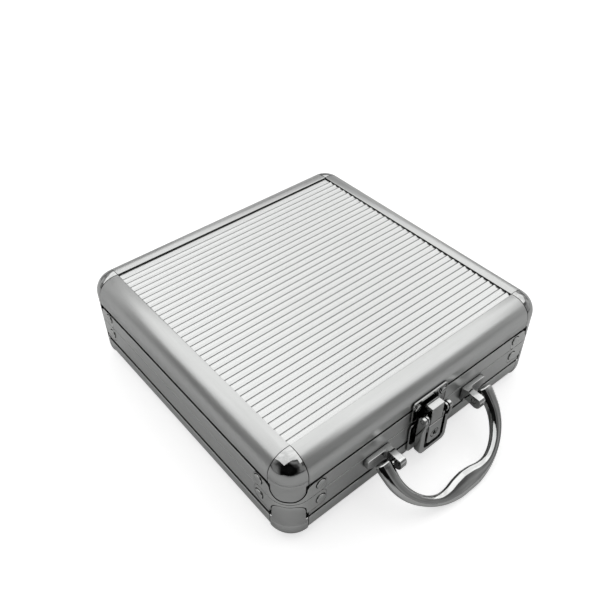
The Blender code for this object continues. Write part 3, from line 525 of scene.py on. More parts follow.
def paint_shade_black(thing, turn, dark, middle=(0, 0, 0)):
    """Gives a piece's second material, black painted as shade, to the faces that pass a test of their
    middle and normal, both as they were drawn, before the piece was turned and moved."""
    back = Matrix.Rotation(math.radians(-turn), 3, "Z")
    for face in thing.data.polygons:
        if dark(back @ ((face.center - CENTRE) / MM - Vector(middle)), back @ face.normal):
            face.material_index = 1


def side_piece(bm, lid, side, turn, name, node, dark):
    """Turns a profile or a band to its side, painted black as shade where a test says so."""
    half = HALF[lid]
    looks = [ALONG_Y if side_facts(turn)[2] else ALONG_X, BOARD_AND_PAINTED_SHADE]
    thing = keep(spin(bm, turn, "Z"), f"{half}_{name}_{side}", half, f"{half}_{node}_{side}", looks, 30,
                 weighted=False)
    paint_shade_black(thing, turn, dark)


def profile_pairs(lid, face, wide):
    """Extrusion section: rounded skin, thin lip over the panel's edge, channel and foot."""
    inner = EDGE - SKIN
    web = LIP - CHANNEL
    wall = 1.0
    angle = math.degrees(math.acos((EDGE - web + wall) / inner))
    foot = PROFILE_LOW - (WIDER_FOOT if wide else 0.0)
    pairs = [(0.0, foot - 0.2), (0.04, foot - 0.06), (0.15, foot)]
    pairs += [(RETURN, foot), (RETURN, foot - 1.2), (SKIN, foot - 1.2)]
    pairs += arc((EDGE, EDGE), inner, 180, 180 + angle, 10)
    pairs += [(web - wall, CHANNEL_LOW + wall), (LIP, CHANNEL_LOW + wall), (LIP, CHANNEL_LOW)]
    pairs += [(web, CHANNEL_LOW), (web, 0.62), (LIP - 0.4, 0.6)]
    pairs += [(LIP - 0.1, 0.52), (LIP, 0.34), (LIP - 0.09, 0.13), (LIP - 0.35, 0.02), (LIP - 0.8, 0.0)]
    pairs += arc((EDGE, EDGE), EDGE, 270, 180, 28)
    return [(-face + inset, flip(lid, depth)) for inset, depth in pairs]


def profile(lid, side, turn):
    """One edge profile, painted black as shade in the channel behind the lip and inside the joint with the
    band.
    """
    long, face, wide = side_facts(turn)

    # Faces painted black as shade: the channel behind the lip and the foot's top, in the joint.
    def dark(at, _):
        inset, depth = at.y + face, flip(lid, at.z)
        channel = LIP - CHANNEL - 0.2 < inset < LIP - 0.3 and 0.65 < depth < CHANNEL_LOW + 0.3
        foot = inset > 0.1 and depth > PROFILE_LOW - WIDER_FOOT - 0.05
        return (channel or foot) and abs(at.x) < long - ENDS_IN - 0.1

    bm = bar(profile_pairs(lid, face, wide), 0, -long + ENDS_IN, long - ENDS_IN, 0.22)
    side_piece(bm, lid, side, turn, "profile_skin", "profile", dark)


def band_span(lid, wide):
    """Lower and upper edge of a mouth band; its outer joint is wider on the two sides."""
    low, high = LID_BAND if lid else BASE_BAND
    if not wide:
        return low, high
    return (low, high - WIDER) if lid else (low + WIDER, high)


def band_pairs(lid, face, wide):
    """Mouth band section with rounded edges, the return over the boards, and the base's tongue."""
    low, high = band_span(lid, wide)
    below, above = (0.4, 0.25) if lid else (0.25, 0.4)
    pairs = arc((below, low + below), below, 270, 180, 4)
    pairs += arc((above, high - above), above, 180, 90, 4)
    if lid:
        pairs += [(RETURN, high), (RETURN, low + SKIN), (5.9, low + SKIN), (5.9, low)]
    else:
        pairs += [(6.2, high), (6.2, TONGUE_TOP - 0.3), (6.45, TONGUE_TOP), (7.15, TONGUE_TOP)]
        pairs += [(7.4, TONGUE_TOP - 0.3), (7.4, high - SKIN), (RETURN, high - SKIN), (RETURN, low)]
    return [(-face + inset, z) for inset, z in pairs]


def plate_span(lid):
    return LID_BAND if lid else (BASE_PLATE_LOW, BASE_BAND[1])


def mouth_band(lid, side, turn):
    """One mouth band, with pockets for the corner plates, painted black as shade inside its joint with the
    profile.
    """
    long, face, wide = side_facts(turn)
    low, high = plate_span(lid)
    gap = 0.1
    pockets = []
    for sign in (-1, 1):
        near, far = beside(sign, long - PLATE_ARM - gap, long + 4)
        picks = (1, 0, 0, 1) if sign > 0 else (0, 1, 1, 0)
        shape = rounded((near, low - 0.3), (far, high + 0.3), PLATE_ROUND + gap, 8, picks)
        pockets.append(bar(shape, 1, -face - 4, -face + SKIN + 0.3))
    bm = cut(bar(band_pairs(lid, face, wide), 0, -long + ENDS_IN, long - ENDS_IN), *pockets)
    # The band's edge face inside the joint is painted black as shade.
    joint = band_span(lid, wide)[1 if lid else 0]
    side_piece(bm, lid, side, turn, "mouth_band", "mouth",
               lambda at, _: abs(at.z - joint) < 0.1 and at.y + face > 0.25)


for make in (profile, mouth_band):
    for lid in (True, False):
        for side, turn in SIDES:
            make(lid, side, turn)


# ---- corners ----
def leg_columns():
    """Angles round the corner, and whether each is on the leg; the leg's edges are their own."""
    edge = math.asin(LEG_HALF / CORNER)
    full = math.pi / 4
    offs = [(full * k, False) for k in (1.0, 0.985, 0.955, 0.92)] + [(edge + 0.012, False), (edge, True)]
    offs += [(edge * math.cos(math.pi * k / 28), True) for k in range(1, 14)] + [(0.0, True)]
    left = [(full - off, leg) for off, leg in offs]
    right = [(full + off, leg) for off, leg in reversed(offs[:-1])]
    return left + right


def leg_end_at(lid, phi, leg):
    """Height of a leg's end, or of its shoulder, at an angle round the corner."""
    across = abs(CORNER * math.sin(phi - math.pi / 4))
    if not leg:
        ease = max(0.0, LEG_HALF + SHOULDER_EASE - across)
        return flip(lid, PROFILE_LOW + SHOULDER + 0.5 * ease * ease)
    over = min(LEG_ROUND, max(0.0, across - (LEG_HALF - LEG_ROUND)))
    rise = LEG_ROUND - math.sqrt(max(0.0, LEG_ROUND ** 2 - over ** 2))
    return LEG_ENDS[lid] + (rise if lid else -rise)


def ball_path(lid, depth):
    """Half of a corner's section, from the panel outwards and down to a depth, and back inside, as
    (radius, depth) pairs. A shallow crease runs round the foot of the ball."""
    radius = BALL_ROUND[lid]
    flat = CORNER - radius
    path = [(0.0, 0.0), (flat * 0.5, 0.0)] + arc((flat, radius), radius, -90, 0, 30)
    path += [(CORNER, 13.9), (CORNER - 0.16, 14.15), (CORNER - 0.2, 14.35), (CORNER - 0.05, 14.7),
             (CORNER, CREASE_END)]
    rows = 6
    edge = 0.35
    for row in range(1, rows):
        path.append((CORNER, CREASE_END + (depth - edge - CREASE_END) * row / rows))
    path += [(CORNER, depth - edge), (CORNER - 0.1, depth - 0.1), (CORNER - edge, depth)]
    path += [(CORNER - SKIN, depth)] + arc((flat, radius), radius - SKIN, 0, -90, 10)
    return path + [(0.0, SKIN)]


def ball_corner(lid):
    """Drawn round (0, 0), its quarter towards -X and -Y, with eased ends against the profiles."""
    rings = []
    columns = leg_columns()
    columns = [columns[0]] + columns + [columns[-1]]
    side_gap = 0.014
    for i, (phi, leg) in enumerate(columns):
        at_end = i in (0, len(columns) - 1)
        if not at_end:
            phi = min(max(phi, side_gap), math.pi / 2 - side_gap)
        path = ball_path(lid, flip(lid, leg_end_at(lid, phi, leg)))
        if at_end:
            path = [path[0]] + shrink(path, 0.2)[1:-1] + [path[-1]]
        x, y = -math.cos(phi), -math.sin(phi)
        rings.append([Vector((r * x, r * y, flip(lid, d))) for r, d in path])
    bm = loft(rings)
    bmesh.ops.remove_doubles(bm, verts=bm.verts, dist=0.001)
    return bm


def notch_pairs(lid):
    """The leg's outline with clearance, flared where it meets the plate's edge."""
    wide = LEG_HALF + NOTCH_GAP[lid]
    radius = LEG_ROUND + NOTCH_GAP[lid]
    sign = 1 if lid else -1
    tip = LEG_ENDS[lid] - sign * NOTCH_GAP[lid]
    low, high = plate_span(lid)
    mouth = high if lid else low
    flare = NOTCH_FLARE[lid]
    right = arc((wide - radius, 0), radius, -90, 0, 10)
    right = [(x, tip + sign * (radius + z)) for x, z in right]
    bow = arc((wide + flare, 0), flare, 180, 90, 6)
    right += [(x, mouth - sign * (flare - z)) for x, z in bow]
    right += [(wide + flare, mouth + sign * 4)]
    left = [(-x, z) for x, z in reversed(right)]
    return left + right


def rivet_spots(lid, off):
    """Axis and place of a corner's two rivets, at a distance off its faces."""
    along = RIVET_IN - CORNER
    return ((1, (along, -CORNER - off, RIVET_Z[lid])), (0, (-CORNER - off, along, RIVET_Z[lid])))


def corner_plate(lid):
    """A plate bent round the corner, its ends rounded, notched for the leg, with a seat for each
    rivet."""
    low, high = plate_span(lid)
    inner = CORNER - SKIN
    reach = PLATE_ARM - CORNER
    outline = [(reach, -CORNER)] + arc((0, 0), CORNER, 270, 180, 20) + [(-CORNER, reach), (-inner, reach)]
    outline += arc((0, 0), inner, 180, 270, 20) + [(reach, -inner)]
    bm = bar(outline, 2, low, high)
    ends = []
    for edge in bm.edges:
        a, b = edge.verts[0].co, edge.verts[1].co
        if (b - a).length < SKIN * 1.1 and max(a.x, a.y) > reach - 0.1 and abs(a.z - b.z) < 0.01:
            ends.append(edge)
    bmesh.ops.bevel(bm, geom=ends, offset=PLATE_ROUND, segments=8, affect="EDGES", profile=0.5)
    notch = spin(bar(notch_pairs(lid), 1, -30, -4), -45, "Z")
    seat = [(0, 0), (SEAT_R, 0), (SEAT_R, 3), (0, 3)]
    seats = [turned(seat, 36, axis, at) for axis, at in rivet_spots(lid, 1)]
    return soften(cut(bm, notch, *seats), 0.14, 2, 50)


def in_seat(at, normal, lid):
    """Whether a face is on the wall of a rivet's seat."""
    for off, aside, facing in ((at.x, at.y, normal.y), (at.y, at.x, normal.x)):
        near = math.hypot(off - (RIVET_IN - CORNER), at.z - RIVET_Z[lid])
        if aside < SKIN - CORNER + 0.5 and near < SEAT_R + 0.03 and abs(facing) < 0.3:
            return True
    return False


def rivet(axis, at):
    """A pan head: straight side, eased shoulder, slightly domed face."""
    high, ease = 0.7, 0.4
    pairs = [(0, -1.25), (RIVET_R, -1.25), (RIVET_R, high - ease)]
    pairs += arc((RIVET_R - 0.3, high - ease), 0.3, 0, 70, 4)
    pairs += [(RIVET_R * 0.6, high - 0.04), (RIVET_R * 0.3, high - 0.01), (0, high)]
    return turned(pairs, 36, axis, at, -1)


def corner_set(lid, corner, turn, sx, sy):
    """A ball corner, its plate and the two rivets."""
    half = HALF[lid]
    middle = (sx * (HALF_X - CORNER), sy * (HALF_Y - CORNER), 0)
    keep(spin(ball_corner(lid), turn, "Z", middle), f"{half}_ball_corner_{corner}", half,
         f"{half}_corner_{corner}", [BALL], weighted=False)
    plate = keep(spin(corner_plate(lid), turn, "Z", middle), f"{half}_formed_plate_{corner}", half,
                 f"{half}_corner_plate_{corner}", [STEEL, BOARD_AND_PAINTED_SHADE])
    # The rivet seats' walls are painted black as shade round each rivet.
    paint_shade_black(plate, turn, lambda at, normal: in_seat(at, normal, lid), middle)
    heads = merged(*[rivet(axis, at) for axis, at in rivet_spots(lid, 0)])
    keep(spin(heads, turn, "Z", middle), f"{half}_rivets_{corner}", half, None, [STEEL])


for lid in (True, False):
    for corner, turn, sx, sy in CORNERS:
        corner_set(lid, corner, turn, sx, sy)


# ---- panels, boards, foam ----
RIB_PITCH = 4.785
RIB_FIRST = -83.0
RIB_COUNT = 35
RIB_FRONT = 1.7  # a rib's gentle side and its steep side
RIB_BACK = 0.65
RIB_HIGH = 0.48
GROOVE = ((0.04, -0.3), (0.42, -0.3), (0.46, 0.0), (0.56, 0.0))  # line behind a rib, from its foot
PANEL_FLAT = 1.25  # the sheet's flats, below the lip
PANEL_THICK = 1.2
PANEL_UNDER = 2.2  # the sheet reaches this far under the lip


def rib_rows():
    """The sheet's section along Y, as (y, rise) pairs: ribs gentle in front and steep behind."""
    reach = HALF_Y - LIP + PANEL_UNDER
    rows = [(-reach, 0.0)]
    steps = 8
    for k in range(RIB_COUNT):
        crest = RIB_FIRST + RIB_PITCH * k
        rows.append((crest - RIB_FRONT - 0.1, 0.0))
        for i in range(2 * steps + 1):
            t = i / steps - 1
            run = RIB_FRONT if t < 0 else RIB_BACK
            rows.append((crest + run * t, RIB_HIGH * math.cos(t * math.pi / 2)))
        rows += [(crest + RIB_BACK + off, rise) for off, rise in GROOVE]
    return rows + [(reach, 0.0)]


def ribbed_panel(lid):
    """A sheet with shallow ribs along X, its corners cut clear of the ball corners."""
    rows = rib_rows()
    reach_x = HALF_X - LIP + PANEL_UNDER
    inner_x, inner_y = HALF_X - ENDS_IN - 0.4, HALF_Y - ENDS_IN - 0.4
    stops = [-reach_x, -inner_x, -inner_x / 2, 0.0, inner_x / 2, inner_x, reach_x]
    bm = bmesh.new()
    grid = [[bm.verts.new((x, y, flip(lid, PANEL_FLAT - rise))) for x in stops] for y, rise in rows]
    for j in range(len(rows) - 1):
        outside_y = max(abs(rows[j][0]), abs(rows[j + 1][0])) > inner_y
        for i in range(len(stops) - 1):
            if outside_y and i in (0, len(stops) - 2):
                continue
            bm.faces.new((grid[j][i], grid[j][i + 1], grid[j + 1][i + 1], grid[j + 1][i]))
    loose = [vert for vert in bm.verts if not vert.link_faces]
    bmesh.ops.delete(bm, geom=loose, context="VERTS")
    lower = bmesh.ops.extrude_face_region(bm, geom=list(bm.faces))
    verts = [item for item in lower["geom"] if isinstance(item, bmesh.types.BMVert)]
    down = -PANEL_THICK if lid else PANEL_THICK
    bmesh.ops.translate(bm, vec=(0, 0, down), verts=verts)
    return bm


def ring_outline(inset, steps=12):
    """The case's rounded plan, some distance inside its outer face."""
    x, y = HALF_X - inset, HALF_Y - inset
    return rounded((-x, -y), (x, y), max(2.0, CORNER - inset), steps)


def wall_boards(lid):
    """The lined boards behind the profiles, as one ring."""
    low, high = (36.3, HEIGHT - 7.0) if lid else (7.0, 32.7)
    section = [(2.9, low), (2.9, high), (5.9, high), (5.9, low), (2.9, low)]
    bm = loft([lift(ring_outline(inset), 2, z) for inset, z in section], caps=False)
    bmesh.ops.remove_doubles(bm, verts=bm.verts, dist=0.001)
    return soften(bm, 0.4, 2, 60)


for lid, half in HALF.items():
    keep(ribbed_panel(lid), half + "_ribbed_panel", half, half + "_panel", [SHEET], 45, weighted=False)

for lid, half in HALF.items():
    keep(wall_boards(lid), half + "_lined_boards", half, half + "_wall_boards", [BOARD_AND_PAINTED_SHADE], 38)


def lid_pad():
    """Felt-faced foam: crowned towards the chips, its edge drawn in."""
    section = [(9.0, 58.7), (6.9, 58.5), (6.4, 57.0), (6.4, 53.6), (6.7, 51.9), (7.6, 50.9),
               (9.4, 50.45), (14, 50.25), (30, 50.1), (60, 50.05)]
    return loft([lift(ring_outline(inset, 8), 2, z) for inset, z in section])


pad = keep(lid_pad(), "lid_felt_pad", "lid", "lid_foam_pad", [FLOCK], 60)

TRAY_TOP = 32.2
TRAY_LOW = 6.5
TRAY_IN = 6.4  # gap from the outer face
CHIP_R = 20.5
CHIP_Z = 28.5
COLUMN = 46.85  # the chip rows' middles, either side of the centre
ROWS = (-69.2, -23.2)
ROW_HALF = 44.0
WELLS = ((34.8, 65.0, 13.0), (80.8, 17.0, 14.0))  # y, width and floor
WELL_HALF = 45.5


def chip_tray():
    """Flocked foam tray: four chip rows, two card wells and two slots."""
    bm = bar(ring_outline(TRAY_IN, 10), 2, TRAY_LOW, TRAY_TOP)
    tools = []
    above = TRAY_TOP + 4
    for x in (-COLUMN, COLUMN):
        for y in ROWS:
            trough = arc((y, CHIP_Z), CHIP_R, 180, 360, 32) + [(y + CHIP_R, above), (y - CHIP_R, above)]
            tools.append(bar(trough, 0, x - ROW_HALF, x + ROW_HALF))
        for y, wide, floor in WELLS:
            shape = rounded((x - WELL_HALF, y - wide / 2), (x + WELL_HALF, y + wide / 2), 2.5, 6)
            tools.append(bar(shape, 2, floor, above))
    bm = cut(bm, *tools)
    return soften(bm, 0.9, 3, 50, pick=lambda edge: min(v.co.z for v in edge.verts) > TRAY_TOP - 0.1)


tray = keep(chip_tray(), "flocked_chip_tray", "base", "chip_tray", [FLOCK], 50)


# ---- hinges ----
PAIR = (("left", -1), ("right", 1))
HINGE_X = 55.0
HINGE_HALF = 15.0  # half a hinge's length
HINGE_AXIS = (HALF_Y + 2.7, PARTING)
KNUCKLE_R = 2.4
KNUCKLE_BORE = 1.4
KNUCKLE_HALF = 5.0  # half the middle knuckle's length
KNUCKLE_GAP = 0.15
LEAF = (0.3, 1.1)  # back and face of a leaf, off the back face


def hinge_leaf(lid, middle):
    """A leaf with its knuckles and three screw heads: one knuckle on the lid, two on the base."""
    back, face = HALF_Y + LEAF[0], HALF_Y + LEAF[1]
    sign = 1 if lid else -1
    near, far = PARTING + sign * 3.0, PARTING + sign * 11.0
    low, high = sorted((near, far))
    picks = (0, 0, 1, 1) if lid else (1, 1, 0, 0)
    plate = rounded((middle - HINGE_HALF, low), (middle + HINGE_HALF, high), 2.0, 6, picks)
    shapes = [bar(plate, 1, back, face, 0.15)]
    inner, outer = KNUCKLE_HALF - KNUCKLE_GAP, KNUCKLE_HALF + KNUCKLE_GAP
    spans = [(-inner, inner)] if lid else [(-HINGE_HALF, -outer), (outer, HINGE_HALF)]
    for start, end in spans:
        knuckle = bar(circle(HINGE_AXIS, KNUCKLE_R, 24), 0, middle + start, middle + end, 0.2)
        hole = bar(circle(HINGE_AXIS, KNUCKLE_BORE, 24), 0, middle + start - 1, middle + end + 1)
        tab_low, tab_high = sorted((PARTING + sign * 1.0, near + sign * 0.6))
        tab = bar(rounded((back, tab_low), (face, tab_high), 0), 0, middle + start, middle + end)
        shapes.append(cut(join(knuckle, tab), hole))
    for x in (-9.0, 0.0, 9.0):
        pairs = [(0, -0.3), (1.9, -0.3), (1.9, 0.15), (1.55, 0.5), (0.8, 0.68), (0, 0.72)]
        shapes.append(turned(pairs, 24, 1, (middle + x, face, (near + far) / 2 + sign * 0.6)))
    return merged(*shapes)


def pin(radius, length, ease, at):
    """A plain pin from a point towards +X, both ends eased."""
    pairs = [(0, 0), (radius - ease, 0), (radius, ease), (radius, length - ease)]
    pairs += [(radius - ease, length), (0, length)]
    return turned(pairs, 20, 0, at)


for side, sign in PAIR:
    for lid, half in HALF.items():
        keep(hinge_leaf(lid, sign * HINGE_X), f"hinge_plate_{half}_{side}", half,
             f"hinge_{half}_leaf_{side}", [STEEL])
    reach = HINGE_HALF + 0.4
    axle = pin(1.1, 2 * reach, 0.2, (sign * HINGE_X - reach, *HINGE_AXIS))
    keep(axle, "hinge_axle_" + side, "base", "hinge_pin_" + side, [STEEL], 38)


# ---- latch ----
PLATE_BACK, PLATE_FACE = 0.3, 1.5  # of the latch's plates, off the front face
STRIKE_LOW, STRIKE_HIGH = (-14.0, 36.5), (14.0, 53.2)
STRIKE_RIM = 1.0  # width of the strike plate's rolled rim
STRIKE_FIELD = 1.25  # the strike plate's sunk field, off the front face
PIVOT = (6.5, 41.0)  # the lever's pivot: off the front face, and its height
PIVOT_BORE = 1.25
CLAW_PIN = (6.0, 37.4)
LOCK_Z = 24.8
LOCK_BACK = 3.0  # the key core's back, off the front face
LEVER_HALF = 11.2
LEVER_LOW, LEVER_HIGH = 11.6, 34.2
LEVER_BACK, LEVER_FACE = 3.2, 8.0
THROUGH = 4.0  # how far a cutting shape runs past the face that it cuts


def front(off):
    """Y of a distance off the front face."""
    return -HALF_Y - off


def slab(outline, face, back, edge=0.0):
    """An outline in X and Z, extruded between two distances off the front face."""
    return bar(outline, 1, front(face), front(back), edge)


def bore(radius, off, z, low, high, points=18):
    """A cutting cylinder along X, its axis at a distance off the front face."""
    return bar(circle((front(off), z), radius, points), 0, low, high)


def strike():
    """The lid's plate with a rolled rim, its shelf for the claw, and two rivets."""
    plate = slab(rounded(STRIKE_LOW, STRIKE_HIGH, 2.2, 7), PLATE_FACE, PLATE_BACK, 0.4)
    (x0, z0), (x1, z1) = STRIKE_LOW, STRIKE_HIGH
    field = rounded((x0 + STRIKE_RIM, z0 + STRIKE_RIM + 0.1), (x1 - STRIKE_RIM, z1 - STRIKE_RIM), 1.6, 6)
    plate = cut(plate, slab(field, PLATE_FACE + 2.5, STRIKE_FIELD))
    shapes = [soften(plate, 0.12, 2, 50)]
    shapes.append(bar(rounded((front(4.2), 43.4), (front(1.0), 45.2), 0.5, 4), 0, -4.2, 4.2, 0.3))
    for x in (-10.2, 10.2):
        pairs = [(0, -0.3), (2.5, -0.3), (2.5, 0.1), (2.3, 0.25), (2.3, 0.75)]
        pairs += arc((2.0, 0.75), 0.3, 0, 75, 4) + [(1.0, 1.13), (0, 1.15)]
        shapes.append(turned(pairs, 32, 1, (x, front(STRIKE_FIELD - 0.1), 48.0), -1))
    return merged(*shapes)


def base_plate():
    """The plate behind the lever, with two cheeks for its pins."""
    shapes = [slab(rounded((-14.0, 10.7), (14.0, 34.1), 2.6, 8), PLATE_FACE, PLATE_BACK, 0.4)]
    off, z = PIVOT
    outline = [(front(1.0), 26.0), (front(1.0), 34.0), (front(1.9), 34.8), (front(2.6), 38.0)]
    outline += [(front(off - 2.3), z + 1.4)] + arc((front(off), z), 2.5, 40, 200, 14)
    outline += [(front(off + 2.2), 38.6), (front(4.8), 33.9), (front(4.2), 29.0), (front(2.2), 26.0)]
    for sign in (-1, 1):
        low, high = beside(sign, 7.2, 8.4)
        cheek = bar(outline, 0, low, high, 0.2)
        shapes.append(cut(cheek, bore(PIVOT_BORE, off, z, low - 2, high + 2)))
    return merged(*shapes)


def lever_ear(sign):
    """An ear that carries the lever's pivot."""
    y, z = front(PIVOT[0]), PIVOT[1]
    outline = [(front(LEVER_BACK), 27.0), (y + 2.9, z - 1.8)] + arc((y, z), 2.8, 0, 180, 18)
    outline += [(y - 2.85, z - 3.0), (front(LEVER_FACE - 0.2), 31.0), (front(LEVER_FACE - 0.2), 27.0)]
    return bar(outline, 0, *beside(sign, 9.0, LEVER_HALF), 0.45)


def lever_rib(sign):
    """A rib of the boss that carries the claw's pin."""
    y, z = front(CLAW_PIN[0]), CLAW_PIN[1]
    outline = [(front(3.4), 29.0), (y + 2.0, z)] + arc((y, z), 1.9, 10, 170, 10)
    outline += [(y - 1.7, z - 1.5), (front(LEVER_FACE - 0.6), 32.4), (front(LEVER_FACE - 0.6), 29.0)]
    return bar(outline, 0, *beside(sign, 5.3, 6.7), 0.2)


def lever():
    """Dished casting: raised rim, U-shaped groove round a boss, two ears."""
    foot = (1, 1, 0, 0)
    face = LEVER_FACE
    above = LEVER_HIGH + THROUGH
    shell = rounded((-LEVER_HALF, LEVER_LOW), (LEVER_HALF, LEVER_HIGH), 4.0, 10, foot)
    hollow = rounded((-LEVER_HALF + 2, LEVER_LOW + 2), (LEVER_HALF - 2, above), 2.6, 6, foot)
    ditch = rounded((-8.0, 15.1), (8.0, above), 3.4, 8, foot)
    groove = stack(ditch, 1, [(front(face + 2), 0), (front(face - 0.3), 0), (front(face - 1.9), 0.15)])
    shell = cut(slab(shell, face, LEVER_BACK, 0.7), slab(hollow, face - 2.8, 0), groove)
    island = rounded((-5.7, 18.0), (5.7, LEVER_HIGH - 0.2), 2.4, 8, foot)
    boss = stack(island, 1, [(front(face - 2.2), -0.45), (front(face - 0.4), 0),
                             (front(face - 0.1), 0.12), (front(face), 0.4)])
    whole = join(shell, boss, lever_ear(-1), lever_rib(-1), lever_ear(1), lever_rib(1))
    bores = [slab(circle((0, LOCK_Z), 3.3, 36), face + THROUGH, 0)]
    bores += [bore(PIVOT_BORE, *PIVOT, *beside(sign, 8.6, 14)) for sign in (-1, 1)]
    return soften(cut(whole, *bores), 0.1, 2, 48)


def claw():
    """A block with a flat top, its foot turned back over the strike's shelf."""
    low, hook, high = 34.7, 45.5, 48.0
    back, face = 4.6, 7.8
    outline = [(front(back), low), (front(back), hook), (front(2.4), hook), (front(2.4), high)]
    outline += [(front(face), high), (front(face), low)]
    block = cut(bar(outline, 0, -4.9, 4.9), bore(1.1, *CLAW_PIN, -9, 9))
    return soften(block, 0.35, 3, 48)


def key_core():
    """Key core with a keyway, set in a thin collar, and its cam behind."""
    pairs = [(0, 0), (2.6, 0), (3.0, 0.3), (3.0, 4.75), (2.75, 5.1), (2.35, 5.1), (2.2, 4.85), (0, 4.85)]
    core = turned(pairs, 40, 1, (0, front(LOCK_BACK), LOCK_Z), -1)
    slot = slab(rounded((-0.75, LOCK_Z - 1.9), (0.75, LOCK_Z + 1.9), 0.3, 3), 12, 5.4)
    wing = slab(rounded((-1.5, LOCK_Z - 0.5), (1.2, LOCK_Z + 0.5), 0.2, 3), 12, 5.4)
    cam = slab(rounded((-1.6, LOCK_Z - 5.2), (1.6, LOCK_Z + 0.5), 1.2, 5), 4.4, 2.6, 0.2)
    return merged(cut(core, slot, wing), cam)


def lever_stud(sign):
    """One of the two short pins that the lever turns on."""
    pairs = [(0, 0), (1.0, 0), (1.0, 4.0), (0.9, 4.15), (0, 4.2)]
    return turned(pairs, 28, 0, (sign * 7.0, front(PIVOT[0]), PIVOT[1]), sign)


keep(strike(), "strike_plate_formed", "lid", "strike_plate", [LATCH])
keep(base_plate(), "latch_back_plate", "base", "latch_base_plate", [LATCH])
for side, sign in PAIR:
    keep(lever_stud(sign), "lever_stud_" + side, "base", "lever_pin_" + side, [CAST], 38)
keep(lever(), "latch_lever_casting", "lever", "latch_lever", [LATCH])
claw_axle = pin(0.9, 13.6, 0.1, (-6.8, front(CLAW_PIN[0]), CLAW_PIN[1]))
keep(claw_axle, "claw_axle", "lever", "claw_pin", [CAST], 38)
keep(claw(), "latch_claw_block", "claw", "latch_claw", [LATCH])
keep(key_core(), "key_core", "lock", "lock_cylinder", [LATCH])


# ---- handle ----
HANDLE_OFF, HANDLE_Z = 10.0, 30.4
HANDLE_BORE = 1.8
DROOP = 45.0  # degrees below level
STATIONS = (  # half of the handle: x, reach from the pivot, width, thickness, degrees
    (0.0, 34.4, 12.0, 6.0, 0.0),
    (7.0, 34.7, 11.2, 6.0, -1.0),
    (14.0, 34.7, 8.6, 5.8, -5.0),
    (20.5, 33.4, 6.6, 5.8, -18.0),
    (27.0, 30.2, 6.0, 6.0, -33.0),
    (33.2, 25.0, 6.4, 6.2, -47.0),
    (38.0, 18.4, 7.2, 6.6, -61.0),
    (40.8, 11.4, 8.0, 6.8, -74.0),
    (41.7, 5.0, 8.8, 7.0, -84.0),
    (42.0, 0.0, 9.4, 7.0, -90.0),
)
HANDLE_END = ((1.8, 0.0), (2.9, 0.35), (3.35, 0.9), (3.6, 1.9))  # reach past the pivot, and taper


def smooth_rows(rows, per_span):
    """Rows of numbers resampled on a Catmull-Rom spline."""
    made = []
    for i in range(len(rows) - 1):
        a, b, c, d = rows[max(i - 1, 0)], rows[i], rows[i + 1], rows[min(i + 2, len(rows) - 1)]
        for k in range(per_span):
            t = k / per_span
            made.append(tuple(
                0.5 * (2 * q + (r - p) * t + (2 * p - 5 * q + 4 * r - s) * t * t
                       + (3 * q - p - 3 * r + s) * t ** 3)
                for p, q, r, s in zip(a, b, c, d)))
    made.append(rows[-1])
    return made


def cast_section(width, thick):
    """Broad faces, chamfers all round and slightly eased corners; pairs are (across, up)."""
    ease = 0.35
    a, b = width / 2, thick / 2
    c, d = min(2.4, a * 0.5), b * 0.45
    corners = [(a, -d), (a, d), (a - c, b), (-a + c, b), (-a, d), (-a, -d), (-a + c, -b), (a - c, -b)]
    pairs = []
    for i, point in enumerate(corners):
        before, after = Vector(corners[i - 1]), Vector(corners[(i + 1) % len(corners)])
        here = Vector(point)
        back, ahead = (before - here), (after - here)
        cut_by = min(ease, back.length * 0.3, ahead.length * 0.3)
        first, last = here + back.normalized() * cut_by, here + ahead.normalized() * cut_by
        middle = (first + last) / 4 + here / 2
        pairs += [first, middle, last]
    return pairs


def handle():
    """One cast loop with a finger swell, bored at both ends and hanging at its droop."""
    right = [(x, -r, w, t, math.radians(a)) for x, r, w, t, a in smooth_rows(STATIONS, 7)]
    x, _, width, thick, angle = right[-1]
    right += [(x, reach, width - less, thick - 1.3 * less, angle) for reach, less in HANDLE_END]
    left = [(-x, r, w, t, -a) for x, r, w, t, a in reversed(right[1:])]
    rings = []
    for x, y, width, thick, angle in left + right:
        normal = Vector((math.sin(angle), math.cos(angle), 0))
        rings.append([Vector((x, y, up)) + normal * across for across, up in cast_section(width, thick)])
    bm = loft(rings)
    for sign in (-1, 1):
        bm = cut(bm, bar(circle((0, 0), HANDLE_BORE, 24), 0, *beside(sign, 30, 44)))
    return spin(bm, DROOP, "X", (0, front(HANDLE_OFF), HANDLE_Z))


LUG_IN, LUG_THICK = 30.5, 4.8
LUG_TIP = 15.0  # the lug's reach off the case
LUG_FILLET = 2.4
BRACKET_FACE = 3.4  # front of a bracket's plate, off the case
BRACKET_TOP = 34.1


def lug_fillet(sign, low, high):
    """The hollow between the plate and the lug's side."""
    root = LUG_IN + LUG_THICK - 0.2
    centre = (root + LUG_FILLET, BRACKET_FACE + LUG_FILLET - 0.1)
    pairs = [(root - 2, PLATE_FACE), (centre[0], PLATE_FACE), (centre[0], BRACKET_FACE - 0.1)]
    pairs += arc(centre, LUG_FILLET, 270, 180, 10) + [(root - 2, BRACKET_FACE + LUG_FILLET)]
    return bar([(sign * x, front(off)) for x, off in pairs], 2, low, high)


